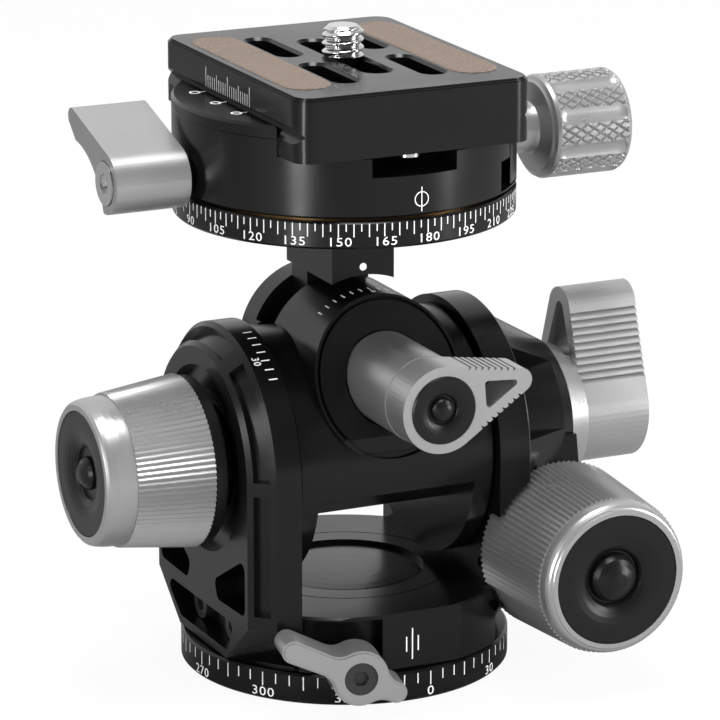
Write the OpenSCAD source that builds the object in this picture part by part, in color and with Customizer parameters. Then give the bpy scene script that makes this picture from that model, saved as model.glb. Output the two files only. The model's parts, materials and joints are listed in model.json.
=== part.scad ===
// Geared tripod head: a panning base, two worm-driven tilts and a panning clamp with a
// quick-release plate. Millimetres, +Z up. -Y is the front, with the base lock lever.
// The origin is the centre of the base's underside.

/* [Fits] */
// Radial clearance of a shaft that turns in a bore
run_gap = 0.05; // [0.02:0.01:0.09]
// Clearance between pieces that move past each other
free_gap = 0.35; // [0.25:0.05:0.5]
// Face clearance between a disc and the disc that it turns on
face_gap = 0.05; // [0.03:0.01:0.1]
// Small chamfer of the turned and milled edges
edge = 0.35; // [0.2:0.05:0.5]

/* [Base and table] */
// Radius of the base dial
base_r = 25.35; // [25:0.05:28]
// Height of the base dial
base_h = 4.7; // [4:0.1:6]
// Radius of the tripod thread's bore
tripod_r = 4.7625; // [3.175:0.0005:4.7625]
// Depth of the tripod thread's bore
tripod_depth = 9.5; // [8:0.1:10]
// Radius of the pan spindle's journal
spindle_r = 8; // [7.5:0.1:8.5]
// Thickness of the pan spindle's flange
flange_t = 1.5; // [1.2:0.1:2]
// Thickness of the thrust washer between the dial and the table
washer_t = 0.3; // [0.2:0.1:0.5]
// Height of the table above the thrust washer
table_h = 8.8; // [8.5:0.05:9.5]
// Distance of the table's front flat from the pan axis
table_front = 24.2; // [23.5:0.1:25]
// Turn of the table's left facet, which carries the base lever
facet_turn = 12; // [8:1:15]
// Sideways place of the base lever's axis along its facet
base_lever_x = 4.7; // [4:0.1:6]

/* [Arms] */
// Height of the front tilt axis
axis_a = 34.3; // [34:0.1:36]
// Rise from the front tilt axis to the side tilt axis
axis_rise = 13.7; // [13.5:0.05:14]
// Distance from the middle to an arm's inner face
arm_x = 16.5; // [16.3:0.1:17]
// Radius of an arm's round top
arm_r = 20.5; // [20:0.1:21]
// Thickness of the left arm's dial band
left_band = 4.1; // [3.8:0.1:5]
// Thickness of the right arm's band
right_band = 5.3; // [5:0.1:6]
// Width of the bevel round the left arm's outer face
arm_bevel = 3.4; // [3:0.1:3.6]
// Thickness of the left arm's bevelled layer
bevel_t = 3.3; // [3:0.1:4]
// Wall of the bronze bushes
bush_wall = 1.5; // [1:0.1:2]

/* [Tilt body] */
// Radius of the tilt body's barrel
barrel_r = 19.2; // [19:0.1:19.5]
// Radius of the side tilt's bands
band_r = 12; // [11.9:0.05:12.2]
// Radius of the left trunnion
left_trunnion_r = 9; // [8.5:0.1:9.5]
// Radius of the right trunnion
right_trunnion_r = 7; // [6.8:0.1:7.2]
// Where the front band ends and the slot for the neck begins
slot_front = 2; // [1.95:0.05:2.2]
// Width of the slot for the neck
slot_w = 6.1; // [6:0.1:6.5]
// Depth of the rear band
rear_band = 4.4; // [4:0.1:5]
// Radius of the round covers
cover_r = 11.1; // [11:0.05:11.2]

/* [Neck and upper dial] */
// Half width of the neck
neck_x = 5.15; // [4.8:0.05:5.5]
// Front face of the neck
neck_front = 6.7; // [6.2:0.1:7.2]
// Back face of the neck
neck_back = 9.8; // [9.4:0.1:10.2]
// Height of the upper dial's underside above the side tilt axis
neck_h = 22.85; // [22.5:0.05:24]
// Radius of the upper dial and clamp drum
drum_r = 26; // [25.8:0.1:27]
// Thickness of the upper dial
dial_t = 4.15; // [3.8:0.05:4.5]

/* [Clamp] */
// Height of the drum's underside to the top of its jaws
drum_h = 11.8; // [11.6:0.05:12]
// Height of the jaws above the channel floor
jaw_h = 2.9; // [2.8:0.05:3]
// Radius of the upper pan spindle
head_spindle_r = 7.5; // [7:0.1:7.8]

/* [Plate] */
// Width of the dovetail plate
plate_w = 38; // [37.8:0.1:38.2]
// Length of the dovetail plate
plate_l = 50.7; // [48:0.1:55]
// Thickness of the plate
plate_t = 9.65; // [9.5:0.05:10]
// Depth of the grooves in the plate's sides
groove_depth = 1.3; // [1.1:0.05:1.4]
// Radius of the camera screw's thread
camera_r = 3.175; // [3:0.005:3.175]
// Length of the camera screw above the plate
camera_h = 4.7; // [4:0.1:5.5]
// Thickness of the grip pads
pad_t = 0.8; // [0.6:0.1:1]

/* [Knobs and levers] */
// Distance from the middle to the left knob's inner end
left_knob_in = 27; // [26.9:0.1:27.5]
// Length of the left knob
left_knob_l = 16.5; // [15:0.1:18]
// Side offset of the front knob's axis
front_knob_x = 28.3; // [28.2:0.1:28.5]
// Drop from the front tilt axis to the front knob's axis
front_knob_drop = 15.9; // [15.7:0.1:16.2]
// Distance from the middle to the front knob's inner end
front_knob_in = 16.9; // [16.8:0.1:17.5]
// Length of the front knob
front_knob_l = 19.4; // [18:0.1:21]
// Radius over the ridges of a tilt knob at its inner end
knob_big_r = 13.25; // [13:0.05:13.5]
// Number of ridges on a tilt knob
knob_ridges = 92; // [70:1:96]
// Radius of the clamp knob
clamp_knob_r = 8.05; // [7.8:0.05:8.4]
// Length of the clamp knob
clamp_knob_l = 13.3; // [12:0.1:15]
// Width of the right lever
right_lever_w = 11.6; // [10:0.1:12.5]
// Width of the pan lever
pan_lever_w = 11.9; // [10:0.1:13]

/* [Gears] */
// Module of both worm drives
gear_tooth_l = 0.7; // [0.69:0.01:0.71]
// Backlash between a worm's thread and the wheel's teeth
backlash = 0.16; // [0.12:0.01:0.22]

/* [Hidden] */
$fn = 96;

// How far a cut runs past the face that it opens
over = 1;
// Room left past the end of a screw and of a shaft in a blind hole
screw_end_gap = 0.2;
shaft_end_gap = 0.3;
// Sides of the small rounds inside a hull
hull_fn = 32;
black = [0.08, 0.08, 0.085];
dark = [0.15, 0.15, 0.16];
silver = [0.72, 0.72, 0.74];
steel = [0.8, 0.8, 0.82];
bronze = [0.72, 0.5, 0.25];
brown = [0.45, 0.36, 0.3];

// Heights of the base, its washer and the table
table_z = base_h + washer_t + face_gap;
table_top = table_z + table_h;
// The table's central recess, from the top: cap recess, screw recess, shoulder
cap_r = 12.35;
cap_drop = 0.76;
cap_t = 0.55;
cap_dome = 0.5;
cap_dome_share = 0.96;
cap_gap = 0.25;
ring_r = 11.3;
ring_t = 0.9;
shoulder_z = table_top - cap_drop - cap_t - cap_gap - ring_t - face_gap;
washer_in = 2;
groove_line_r = 16.05;
groove_line_w = 0.25;
groove_line_d = 0.2;
// The screws of the base
flange_r = 12.15;
small_screw_r = 0.8;
small_head_r = 1.35;
small_head_h = 1;
base_screw_pcr = 10.2;
ring_screw_pcr = (tripod_r + spindle_r) / 2;
ring_screw_l = 4;
base_screw_l = 2.8;
base_head_gap = 0.1;
// The base lever, across its facet: u to the right, v up, both from its axis
base_lever_z = 6.6;
facet_in = 0.75;
facet_y = base_r - facet_in;
right_facet_turn = facet_turn - 1;
right_facet_y = facet_y + 0.5;
stud_r = 1.25;
lever_barrel_r = 4.3;
lever_root_r = 1.5;
lever_fillet = 3;
lever_reach = 5.9;
lever_off = 1.1;
lever_boss_r = 1.6;
lever_l_u = 10.2;
lever_l_v = 4.9;
lever_l_r = 1.75;
lever_s_u = 5.5;
lever_s_v = 2.7;
lever_s_r = 1.6;
bolt_head_r = 2.55;
bolt_head_h = 1.8;
window_left = 5.6;
window_right = 4.9;
window_depth = 4;
window_roof = 0.6;
shoe_r = 1.2;
shoe_l = 4;
// The arms
foot_z = table_z;
foot_turn = 47.2;
foot_tilt = 40.6;
foot_corner_in = 3.3;
foot_corner_z = 12.2;
left_outer = arm_x + left_band + bevel_t;
right_outer = arm_x + right_band;
outer_face_r = arm_r - arm_bevel;
foot_corner_y = arm_r - foot_corner_in;
pocket_r = 14.3;
pocket_depth = 1.5;
arm_screw_y = 6;
arm_screw_z = 8.9;
arm_screw_r = 1.5;
arm_head_r = 2.4;
arm_head_h = 1.6;
arm_screw_l = 7;
arm_screw_gap = 0.5;
arm_hole_y = -13.9;
arm_hole_z = 16.1;
arm_hole_r = 0.8;
arm_hole_d = 1.4;
// The pockets with round corners in the left arm's outer face, as points in Y and Z
window_pocket = bevel_t + 0.5;
foot_pocket = [[-10, 10.2], [11.5, 10.2], [8, 7.6], [-8.6, 7.6]];
foot_pocket_r = 1.2;
side_pocket = [[14.8, 20.6], [6.2, 15.8], [6.6, 14.8], [14.8, 15]];
side_pocket_r = 1.3;
// The slots in the left arm's bevel
slot_wide = 2.7;
slot_deep = 1.4;
slot_top_angles = [70, 128];
slot_side_angles = [3, 60];
slot_low_z = 14.3;
slot_high_z = 33.1;
// The gears
teeth_a = 32;
teeth_b = 28;
press_angle = 20;
wheel_a_r = gear_tooth_l * teeth_a / 2;
wheel_b_r = gear_tooth_l * teeth_b / 2;
worm_a_r = front_knob_drop - wheel_a_r;
worm_b_r = axis_rise - wheel_b_r;
lead = gear_tooth_l * PI;
addendum = gear_tooth_l;
dedendum = gear_tooth_l * 1.25;
worm_a_l = 13;
worm_b_l = 13;
wheel_a_w = 6.4;
wheel_b_w = 4.4;
worm_steps = 24;
worm_room = 0.3;
worm_side_gap = 1;
worm_join = 0.3;
wheel_rim = dedendum * 1.2;
// The gear housing and the front worm, across X
housing_cone_r = 18.4;
hub_r = 13.1;
housing_l = 11.6;
housing_end = right_outer + housing_l;
housing_end_r = 11.9;
wheel_a_x = front_knob_x;
wheel_cavity_r = wheel_a_r + addendum + worm_room + face_gap;
wheel_cavity_side = 0.3;
front_knob_z = axis_a - front_knob_drop;
tube_r = 7.2;
tube_bore_r = worm_a_r + addendum + worm_room;
tube_front = front_knob_in - free_gap;
tube_back = 14;
tube_cap = 1.2;
worm_journal_r = 3;
pocket_from = 5;
pocket_to = 54;
// The screws of the gear housing, round the front tilt axis
housing_screw_angles = [75, 105, 215, 325];
housing_screw_pcr = 15;
housing_screw_r = 0.9;
housing_screw_in = 2.8;
housing_head_r = 1.6;
housing_head_h = 1.6;
// The tilt body
axis_b = axis_a + axis_rise;
barrel_x = arm_x - free_gap;
barrel_disc_w = 3.2;
slope_y = 15.8;
slope_turn = 21.4;
band_front = 18.9;
slot_open = 68;
slot_back = slot_front + slot_w;
rear_face = slot_back + rear_band;
relief_out_z = 2.7;
relief_in_z = 9.8;
relief_in_y = 5;
cover_groove = 0.5;
cover_groove_d = 0.8;
cover_in = 8;
wheel_b_y = -0.45;
cavity_b_front = 3;
rear_cover_r = wheel_b_r + addendum + worm_room;
worm_cavity_r = worm_b_r + addendum + worm_room;
worm_cavity_x = worm_b_l / 2 + worm_side_gap;
rear_dimple_x = 7;
rear_dimple_r = 1;
rear_dimple_d = 1;
// The trunnions, the side worm's bushes and the axle of the side tilt
trunnion_in = 12.5;
trunnion_step = 1;
left_trunnion_end = left_outer - pocket_depth - 0.2;
side_bush_r = 5;
side_end_bush_r = 3.5;
side_end_journal_r = 2;
side_end_x = 12;
axle_r = 4;
axle_front = 13;
axle_back = 12;
axle_back_gap = 0.3;
axle_stud_r = 2.5;
axle_stud_in = 1.5;
wheel_boss_r = axle_r + 2;
// The side lever
side_sleeve_r = 6.7;
side_hub_r = side_sleeve_r - 0.1;
side_lever_front = 34.3;
side_lever_t = 6;
side_tip_x = 12.6;
side_tip_z = 3;
side_tip_r = 1.85;
side_cap_r = 5.15;
side_cap_out = 0.3;
side_recess = 1.5;
side_hole = [[7.2, 3.1], [11.5, 2.8], [7.45, 0]];
side_hole_r = 0.5;
side_grooves_n = 8;
side_groove_from = 3.2;
side_groove_pitch = 1.05;
side_groove_d = 0.55;
side_groove_top = 0.1;
side_groove_low = 0.75;
// The right lever
lever_gap = 0.35;
right_flange_l = 3.3;
right_flange_r = 11.4;
right_flange_end_r = 10.3;
right_hub_r = 8.6;
right_top_z = 16.3;
right_top_r = 3.5;
right_wall = 2.3;
right_hole_z = 9;
right_hole_y = 2.6;
right_hole_r = 1.4;
right_ribs = 10;
right_rib_from = 5.7;
right_rib_to = 16.7;
right_rib_depth = 0.75;
right_rib_share = 0.4;
lever_stud_r = 2.5;
lever_stud_l = 8;
stud_in = 6;
stud_end_gap = 0.5;
// The knobs
knob_taper = 0.885;
knob_ridge_l = 11.9;
front_ridge_l = 16.9;
front_taper = 0.925;
ridge_depth = 0.35;
knob_rim_r = 10.6;
knob_cap_r = 9.55;
front_rim_r = 10.95;
front_cap_r = 10.1;
nose_share = 0.1;
knob_recess = 2.4;
shaft_short = 3;
collar_r = 12.85;
collar_t = 2.2;
collar_boss_r = 8.35;
// The caps: depth, dish and radius of the dome, then shares of the rim, dish and dome
cap_sunk = 0.1;
front_cap = [2.3, 1.7, 3.9];
left_cap = [2.3, 1.4, 2.6];
side_cap = [1.5, 0.9, 1.9];
cap_rim_share = 0.79;
cap_dish_share = 0.38;
cap_rise_share = 0.7;
// The neck and the upper dial
eye_r = 9.3;
eye_gap = 0.3;
eye_back_gap = 0.2;
saddle_gap = 1.85;
dial_z = axis_b + neck_h;
dial_top = dial_z + dial_t;
head_screw_x = 3;
head_screw_y = 4;
head_screw_r = 1;
head_head_r = 1.7;
head_screw_in = 5;
head_shift_y = 1.5;
head_washer_r = 24;
// The clamp
drum_z = dial_top + washer_t + 2 * face_gap;
jaw_top = drum_z + drum_h;
channel_z = jaw_top - jaw_h;
clamp_axis = drum_z + 4.85;
pan_axis = drum_z + 3.1;
drum_shoulder = drum_z + 4.55;
retainer_t = 1.1;
jaw_gap = 0.06;
jaw_x = plate_w / 2 + jaw_gap;
split_x = jaw_x - 0.3;
lip_r = drum_r - 1;
jaw_floor = drum_z + 5.2;
lip_h = 1.1;
lip_rise = 1.05;
lip_top_w = 1.3;
lip_w = 1.9;
guide_y = 9.5;
guide_r = 1.5;
guide_in = 13;
guide_wall = 2;
guide_end_gap = 0.5;
clamp_screw_r = 2.5;
clamp_screw_gap = 0.35;
clamp_screw_in = 12.2;
clamp_tip_gap = 0.5;
clamp_neck_l = 6.1;
clamp_knob_in = drum_r + clamp_neck_l;
clamp_neck_r = 3.8;
clamp_flare = 1.2;
clamp_chamfer = 0.8;
knob_strips = 9;
knob_strip_turn = 10;
knob_strip_r = 2.4;
knob_strip_d = 0.4;
knob_strip_in = 1;
front_notch_l = 7.2;
front_notch_r = 6.4;
front_notch_z = channel_z - 2.8;
pin_groove = 2.6;
pin_groove_d = 1.4;
drum_floor = 0.6;
drum_window_x = 16.2;
drum_window_y = 21;
drum_cap_t = 2.4;
drum_cap_sunk = 0.1;
// The pan lever
pan_hub_r = 4.7;
pan_lever_in = drum_r + 1;
pan_tip_y = 12.9;
pan_tip_z = 7.4;
pan_tip_r = 1.4;
pan_screw_r = 1.1;
pan_recess = 1.2;
pan_recess_r = 3.4;
pan_head_r = 3.3;
pan_head_h = 1.4;
pan_washer_r = 2.9;
pan_washer_gap = 0.3;
pan_brake_l = 2.4;
pan_brake_r = 1.1;
pan_hollow_y = 12.6;
pan_hollow_z = -8.2;
pan_hollow_r = 12.4;
// The plate
plate_z = channel_z + 0.25;
plate_top = plate_z + plate_t;
plate_corner = 3;
plate_edge = 0.5;
groove_low = 2.7;
groove_high = 5.1;
slot_x = 7.1;
slot_narrow = 3.7;
slot_from = 2.6;
slot_to = 17.5;
slot_mid_w = 4.25;
slot_mid_to = 13.3;
slot_bevel = 0.45;
pad_x = 13.55;
pad_w = 7.5;
pad_from = 19.3;
pad_to = 20.5;
pad_sunk = 0.55;
pin_r = 1.85;
pin_y = 22;
pin_h = 1.1;
pin_in = 3;
pin_stem_r = 1.25;
pin_edge = 0.2;
// The drum's cap, whose rim stops the plate's pins at the end of their way
plate_travel = 10;
drum_cap_r = pin_y - pin_r - plate_travel - face_gap;
retainer_r = drum_cap_r - free_gap;
camera_y = 0.5;
camera_neck_r = 2;
camera_head_r = 4.7;
camera_head_h = 2.4;
camera_pocket_r = 5;
camera_pocket_h = 3.2;
camera_washer_t = 0.4;
camera_gap = 0.05;
camera_travel = 9;
camera_thread_from = 0.1;
camera_point = 1;
camera_point_r = camera_r - 0.9;
camera_slot_w = 1.2;

// Places its children with their Z along X, from x
module along_x(x, y, z) {
    translate([x, y, z]) rotate([0, 90, 0]) children();
}

// Places its children with their Z along -X, from x
module along_minus_x(x, y, z) {
    translate([x, y, z]) rotate([0, -90, 0]) children();
}

// Places its children with their Z along Y, from y
module along_y(x, y, z) {
    translate([x, y, z]) rotate([-90, 0, 0]) children();
}

// Places its children with their Z along -Y, from y
module along_minus_y(x, y, z) {
    translate([x, y, z]) rotate([90, 0, 0]) children();
}

// Draws an outline in Y and Z, from x towards +X
module slab_x(x, t) {
    translate([x, 0, 0]) rotate([90, 0, 90]) linear_extrude(t) children();
}

// Draws an outline in X and Z, from y towards +Y
module slab_y(y, t) {
    translate([0, y + t, 0]) rotate([90, 0, 0]) linear_extrude(t) children();
}

// A disc with both rims chamfered
module disc(r, h, c = edge) {
    rotate_extrude() polygon([[0, 0], [r - c, 0], [r, c], [r, h - c], [r - c, h], [0, h]]);
}

module ring_of(count, r, start = 0) {
    for (i = [0:count - 1]) rotate([0, 0, start + i * 360 / count]) translate([r, 0, 0]) children();
}

// A socket screw with its head at the top, z 0 at the head's underside
module screw(r, l, head_r, head_h) {
    difference() {
        union() {
            translate([0, 0, -l]) cylinder(h = l + over / 4, r = r, $fn = 24);
            cylinder(h = head_h, r = head_r, $fn = 32);
        }
        translate([0, 0, head_h / 2]) cylinder(h = head_h, r = head_r / 2, $fn = 6);
    }
}

// Half angle of a tooth at radius r, on a wheel of z teeth and pitch radius p
function inv(a) = tan(a) * 180 / PI - a;
function half_tooth(r, p, z) = 90 / z - backlash / 2 / p * 180 / PI + inv(press_angle)
    - inv(acos(min(1, p * cos(press_angle) / r)));

// A worm wheel along Z with a gap towards +X at its mid height
module wheel_teeth(z, w, worm_r) {
    p = gear_tooth_l * z / 2;
    root = p - dedendum;
    tip = p + addendum;
    depth_shares = [0, 0.42, 0.72, 1];
    radii = [for (s = depth_shares) root + (tip - root) * s];
    turn = lead / (2 * PI * worm_r) / p * w * 180 / PI;
    rotate([0, 0, -turn / 2]) translate([0, 0, -w / 2])
        linear_extrude(w, twist = -turn, slices = 4) polygon([for (t = [0:z - 1])
            let (mid = (t + 0.5) * 360 / z)
            for (k = [0:7])
                let (n = k < 4 ? k : 7 - k, a = half_tooth(radii[n], p, z))
                radii[n] * [cos(mid + (k < 4 ? -a : a)), sin(mid + (k < 4 ? -a : a))]]);
}

// A right-hand worm thread along Z with its crest towards +X at z 0
module worm_thread(pitch_r, l) {
    root = pitch_r - dedendum;
    tip = pitch_r + addendum;
    slope = tan(press_angle);
    half_pitch = lead / 4 - backlash / 4;
    low = half_pitch + dedendum * slope;
    high = half_pitch - addendum * slope;
    turns = 2 * floor((l - lead) / (2 * lead));
    last = 4 * turns;
    first_z = -lead * turns / 2;
    column = last + 2;
    at_seam = last + 6;
    function crossing(a, z) = [for (q = [[root, -low], [tip, -high], [tip, high], [root, low]])
        [q[0] * cos(a), q[0] * sin(a), z + q[1]]];
    function thread_column(i, n) = let (a = i * 360 / worm_steps) concat(
        [[root * cos(a), root * sin(a), -l / 2]],
        [for (k = [0:n - 1]) each crossing(a, first_z + lead * (k + i / worm_steps))],
        [[root * cos(a), root * sin(a), l / 2]]);
    function at(i, k) = i == 0 ? k : at_seam + (i - 1) * column + k;
    function quad(a, b, c, d) = [[a, d, c], [a, c, b]];
    points = concat(thread_column(0, turns + 1),
        [for (i = [1:worm_steps - 1]) each thread_column(i, turns)]);
    sides = [for (i = [1:worm_steps - 2]) for (k = [0:last])
        each quad(at(i, k), at(i + 1, k), at(i + 1, k + 1), at(i, k + 1))];
    after_seam = [for (k = [0:last - 1]) each quad(at(0, k), at(1, k), at(1, k + 1), at(0, k + 1))];
    before = worm_steps - 1;
    before_seam = [for (k = [1:last])
        each quad(at(before, k), at(0, k + 4), at(0, k + 5), at(before, k + 1))];
    run_outs = concat(
        quad(at(before, 0), at(0, 0), at(0, 1), at(before, 1)),
        [[at(before, 1), at(0, 4), at(0, 1)], [at(before, 1), at(0, 5), at(0, 4)]],
        [[at(1, last), at(0, last), at(0, last + 1)], [at(1, last), at(0, last + 1), at(0, last + 4)]],
        quad(at(0, last + 4), at(1, last), at(1, last + 1), at(0, last + 5)));
    caps = [[at(0, 1), at(0, 4), at(0, 3), at(0, 2)],
        [at(0, last + 1), at(0, last + 2), at(0, last + 3), at(0, last + 4)],
        [for (i = [0:worm_steps - 1]) at(i, 0)],
        [for (i = [worm_steps - 1:-1:0]) i == 0 ? at(0, last + 5) : at(i, last + 1)]];
    polyhedron(points, concat(sides, after_seam, before_seam, run_outs, caps));
}

// A tapering ring of ridges from r at z 0
module ridges(r, l, taper, count) {
    linear_extrude(l, scale = taper) polygon([for (i = [0:2 * count - 1])
        let (a = i * 180 / count, q = i % 2 == 0 ? r : r - ridge_depth) q * [cos(a), sin(a)]]);
}

// A tilt knob along Z: ridges from z 0, a smooth nose, a bevel and a recess for its cap
module knob(l, ridge_l, taper, rim_r, cap_radius, shaft_r) {
    nose_r = knob_big_r * taper - edge;
    round_z = ridge_l + (l - ridge_l) * nose_share;
    difference() {
        union() {
            ridges(knob_big_r, ridge_l, taper, knob_ridges);
            rotate_extrude() polygon(concat([[0, ridge_l / 2], [nose_r - edge, ridge_l / 2],
                [nose_r, ridge_l]], [for (t = [0:18:90]) [rim_r + (nose_r - rim_r) * cos(t),
                    round_z + (l - edge / 2 - round_z) * sin(t)]], [[rim_r - edge / 2, l], [0, l]]));
        }
        translate([0, 0, l - knob_recess]) cylinder(h = knob_recess + over, r = cap_radius);
        translate([0, 0, -over]) cylinder(h = l, r = shaft_r);
    }
}

// A dished cap with a domed middle, its rim at z 0, from its depth, dish and dome
module cap(r, shape) {
    depth = shape[0];
    dish = shape[1];
    dome = shape[2];
    rotate_extrude() polygon(concat([[0, -depth], [r, -depth], [r, -edge / 2], [r - edge / 2, 0],
        [r * cap_rim_share, 0]], [for (t = [15:15:90]) [r * (cap_rim_share - cap_dish_share * sin(t)),
            -dish * (1 - cos(t))]],
        [for (t = [0:18:90]) [dome * cos(t), -dish + dome * cap_rise_share * sin(t)]]));
}

module base_dial() {
    color(black) difference() {
        disc(base_r, base_h);
        translate([0, 0, -over]) cylinder(h = base_h + 2 * over, r = spindle_r);
        translate([0, 0, -over]) cylinder(h = flange_t + over, r = flange_r);
        ring_of(3, base_screw_pcr)
            cylinder(h = small_head_h + base_screw_l + screw_end_gap, r = small_screw_r);
    }
}

module base_spindle() {
    color(steel) difference() {
        union() {
            cylinder(h = flange_t, r = flange_r);
            cylinder(h = shoulder_z + face_gap, r = spindle_r);
        }
        translate([0, 0, -over]) cylinder(h = tripod_depth + over, r = tripod_r);
        ring_of(3, base_screw_pcr) {
            translate([0, 0, -over]) cylinder(h = small_head_h + over, r = small_head_r);
            cylinder(h = flange_t + over, r = small_screw_r);
        }
        ring_of(3, ring_screw_pcr, 60) translate([0, 0, shoulder_z + face_gap - ring_screw_l])
            cylinder(h = ring_screw_l + over, r = small_screw_r);
    }
}

module base_screws() {
    color(dark) ring_of(3, base_screw_pcr) translate([0, 0, small_head_h]) rotate([180, 0, 0])
        screw(small_screw_r, base_screw_l, small_head_r, small_head_h - base_head_gap);
}

module retaining_ring() {
    color(steel) translate([0, 0, shoulder_z + face_gap]) difference() {
        cylinder(h = ring_t, r = ring_r);
        translate([0, 0, -over]) cylinder(h = ring_t + 2 * over, r = tripod_r);
        ring_of(3, ring_screw_pcr, 60) translate([0, 0, -over]) {
            cylinder(h = ring_t + 2 * over, r = small_screw_r);
            translate([0, 0, over + ring_t / 2]) cylinder(h = ring_t + over, r = small_head_r);
        }
    }
}

module retaining_screws() {
    color(dark) ring_of(3, ring_screw_pcr, 60) translate([0, 0, shoulder_z + face_gap + ring_t / 2])
        screw(small_screw_r, ring_screw_l, small_head_r, ring_t / 2);
}

module thrust_washer() {
    color(bronze) translate([0, 0, base_h]) difference() {
        cylinder(h = washer_t, r = base_r - washer_in);
        translate([0, 0, -over]) cylinder(h = washer_t + 2 * over, r = spindle_r + free_gap);
    }
}

// Places its children on the left facet: X across it, -Y out of it, from the pan axis
module on_facet() {
    rotate([0, 0, -facet_turn]) children();
}

module table_outline() {
    intersection() {
        circle(base_r);
        translate([-arm_x, -table_front]) square([2 * arm_x, 2 * table_front]);
        rotate(-facet_turn) translate([-2 * base_r, -facet_y]) square([4 * base_r, 4 * base_r]);
        rotate(right_facet_turn) translate([-2 * base_r, -right_facet_y])
            square([4 * base_r, 4 * base_r]);
    }
}

module base_table() {
    color(black) difference() {
        union() {
            translate([0, 0, table_z]) linear_extrude(table_h - edge) table_outline();
            translate([0, 0, table_top - edge]) intersection() {
                linear_extrude(edge) table_outline();
                cylinder(h = edge, r1 = base_r, r2 = base_r - edge);
            }
        }
        translate([0, 0, table_z - over]) cylinder(h = table_h + 2 * over, r = spindle_r + run_gap);
        translate([0, 0, shoulder_z]) cylinder(h = table_h, r = ring_r + free_gap);
        translate([0, 0, table_top - cap_drop - cap_t]) cylinder(h = table_h, r = cap_r);
        translate([0, 0, table_top - groove_line_d]) difference() {
            cylinder(h = over, r = groove_line_r + groove_line_w / 2);
            cylinder(h = 3 * over, r = groove_line_r - groove_line_w / 2, center = true);
        }
        on_facet() {
            translate([-base_lever_x - window_left, -facet_y - over, table_z - over])
                cube([window_left + window_right, window_depth + over, table_h - window_roof + over]);
            along_y(-base_lever_x, -facet_y - over, base_lever_z)
                cylinder(h = facet_y + over - sqrt(pow(spindle_r + free_gap, 2)
                    - pow(base_lever_x, 2)), r = stud_r + run_gap);
            along_y(-base_lever_x, -spindle_r - shoe_l, base_lever_z)
                cylinder(h = shoe_l + spindle_r / 2, r = shoe_r);
        }
        for (s = [-1, 1]) for (y = [-arm_screw_y, arm_screw_y])
            along_x(s > 0 ? arm_x - arm_screw_l + left_band : -arm_x - over, y, arm_screw_z)
                cylinder(h = arm_screw_l - left_band + over, r = arm_screw_r);
        front_knob_room();
    }
}

module table_cap() {
    color(black) translate([0, 0, table_top - cap_drop - cap_t])
        rotate_extrude() polygon(concat([[0, 0], [cap_r, 0], [cap_r, cap_t]],
            [for (t = [15:15:90]) [cap_r * cap_dome_share * cos(t), cap_t + cap_dome * sin(t)]]));
}

module brake_shoe() {
    color(bronze) on_facet() difference() {
        along_y(-base_lever_x, -spindle_r - shoe_l, base_lever_z)
            cylinder(h = shoe_l + spindle_r / 2, r = shoe_r);
        translate([0, 0, table_z - over]) cylinder(h = table_h, r = spindle_r + run_gap);
    }
}

module arm_outline(r) {
    translate([0, axis_a]) circle(r);
    translate([-r, foot_z]) square([2 * r, axis_a - foot_z]);
}

// Cuts the slanted corners off an arm's foot, for the arm on the -X side
module foot_cuts(outer) {
    for (s = [-1, 1]) translate([-outer, s * foot_corner_y, foot_corner_z])
        rotate([0, 0, s * (180 - foot_turn)]) rotate([0, foot_tilt, 0])
            translate([0, -2 * arm_r, -2 * arm_r]) cube([2 * arm_r, 4 * arm_r, 4 * arm_r]);
}

// A pocket with round corners in an arm's outer face, from points in Y and Z
module arm_pocket(points, r) {
    slab_x(-left_outer - over, window_pocket + over) hull()
        for (p = points) translate(p) circle(r, $fn = 24);
}

module left_arm() {
    band_x = -arm_x - left_band;
    mid_r = arm_r - arm_bevel / 2;
    color(black) difference() {
        union() {
            slab_x(band_x, left_band) arm_outline(arm_r);
            along_minus_x(band_x, 0, axis_a) cylinder(h = bevel_t, r1 = arm_r, r2 = outer_face_r);
            translate([0, 0, foot_z]) linear_extrude(axis_a - foot_z) polygon([[band_x, -arm_r],
                [-left_outer, -outer_face_r], [-left_outer, outer_face_r], [band_x, arm_r]]);
        }
        foot_cuts(left_outer);
        along_minus_x(-left_outer + pocket_depth, 0, axis_a)
            cylinder(h = pocket_depth + over, r = pocket_r);
        along_x(-left_outer - over, 0, axis_a)
            cylinder(h = bevel_t + left_band + 2 * over, r = left_trunnion_r + bush_wall);
        arm_pocket(foot_pocket, foot_pocket_r);
        for (s = [-1, 1]) arm_pocket([for (p = side_pocket) [s * p[0], p[1]]], side_pocket_r);
        for (y = [-arm_screw_y, arm_screw_y]) along_x(-left_outer - over, y, arm_screw_z)
            cylinder(h = left_band + bevel_t + 2 * over, r = arm_screw_r);
        bevel_slots(mid_r);
    }
}

// The slots sunk square into the bevel: two arcs round the top and a straight one each side
module bevel_slots(mid_r) {
    lean = atan2(bevel_t, arm_bevel);
    mid_x = -arm_x - left_band - bevel_t / 2;
    for (a = [[slot_top_angles[0], slot_top_angles[1]], [slot_side_angles[0], slot_side_angles[1]],
        [180 - slot_side_angles[1], 180 - slot_side_angles[0]]])
        translate([mid_x, 0, axis_a]) rotate([90, 0, -90]) rotate([0, 0, a[0]])
            rotate_extrude(angle = a[1] - a[0]) translate([mid_r, 0]) rotate(90 - lean)
                translate([-slot_deep, -slot_wide / 2]) square([slot_deep + over, slot_wide]);
    for (s = [-1, 1]) translate([mid_x, s * mid_r, slot_low_z])
        rotate([0, 0, s > 0 ? 180 - lean : 180 + lean])
            translate([-slot_deep, -slot_wide / 2, 0])
                cube([slot_deep + over, slot_wide, slot_high_z - slot_low_z]);
}

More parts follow.
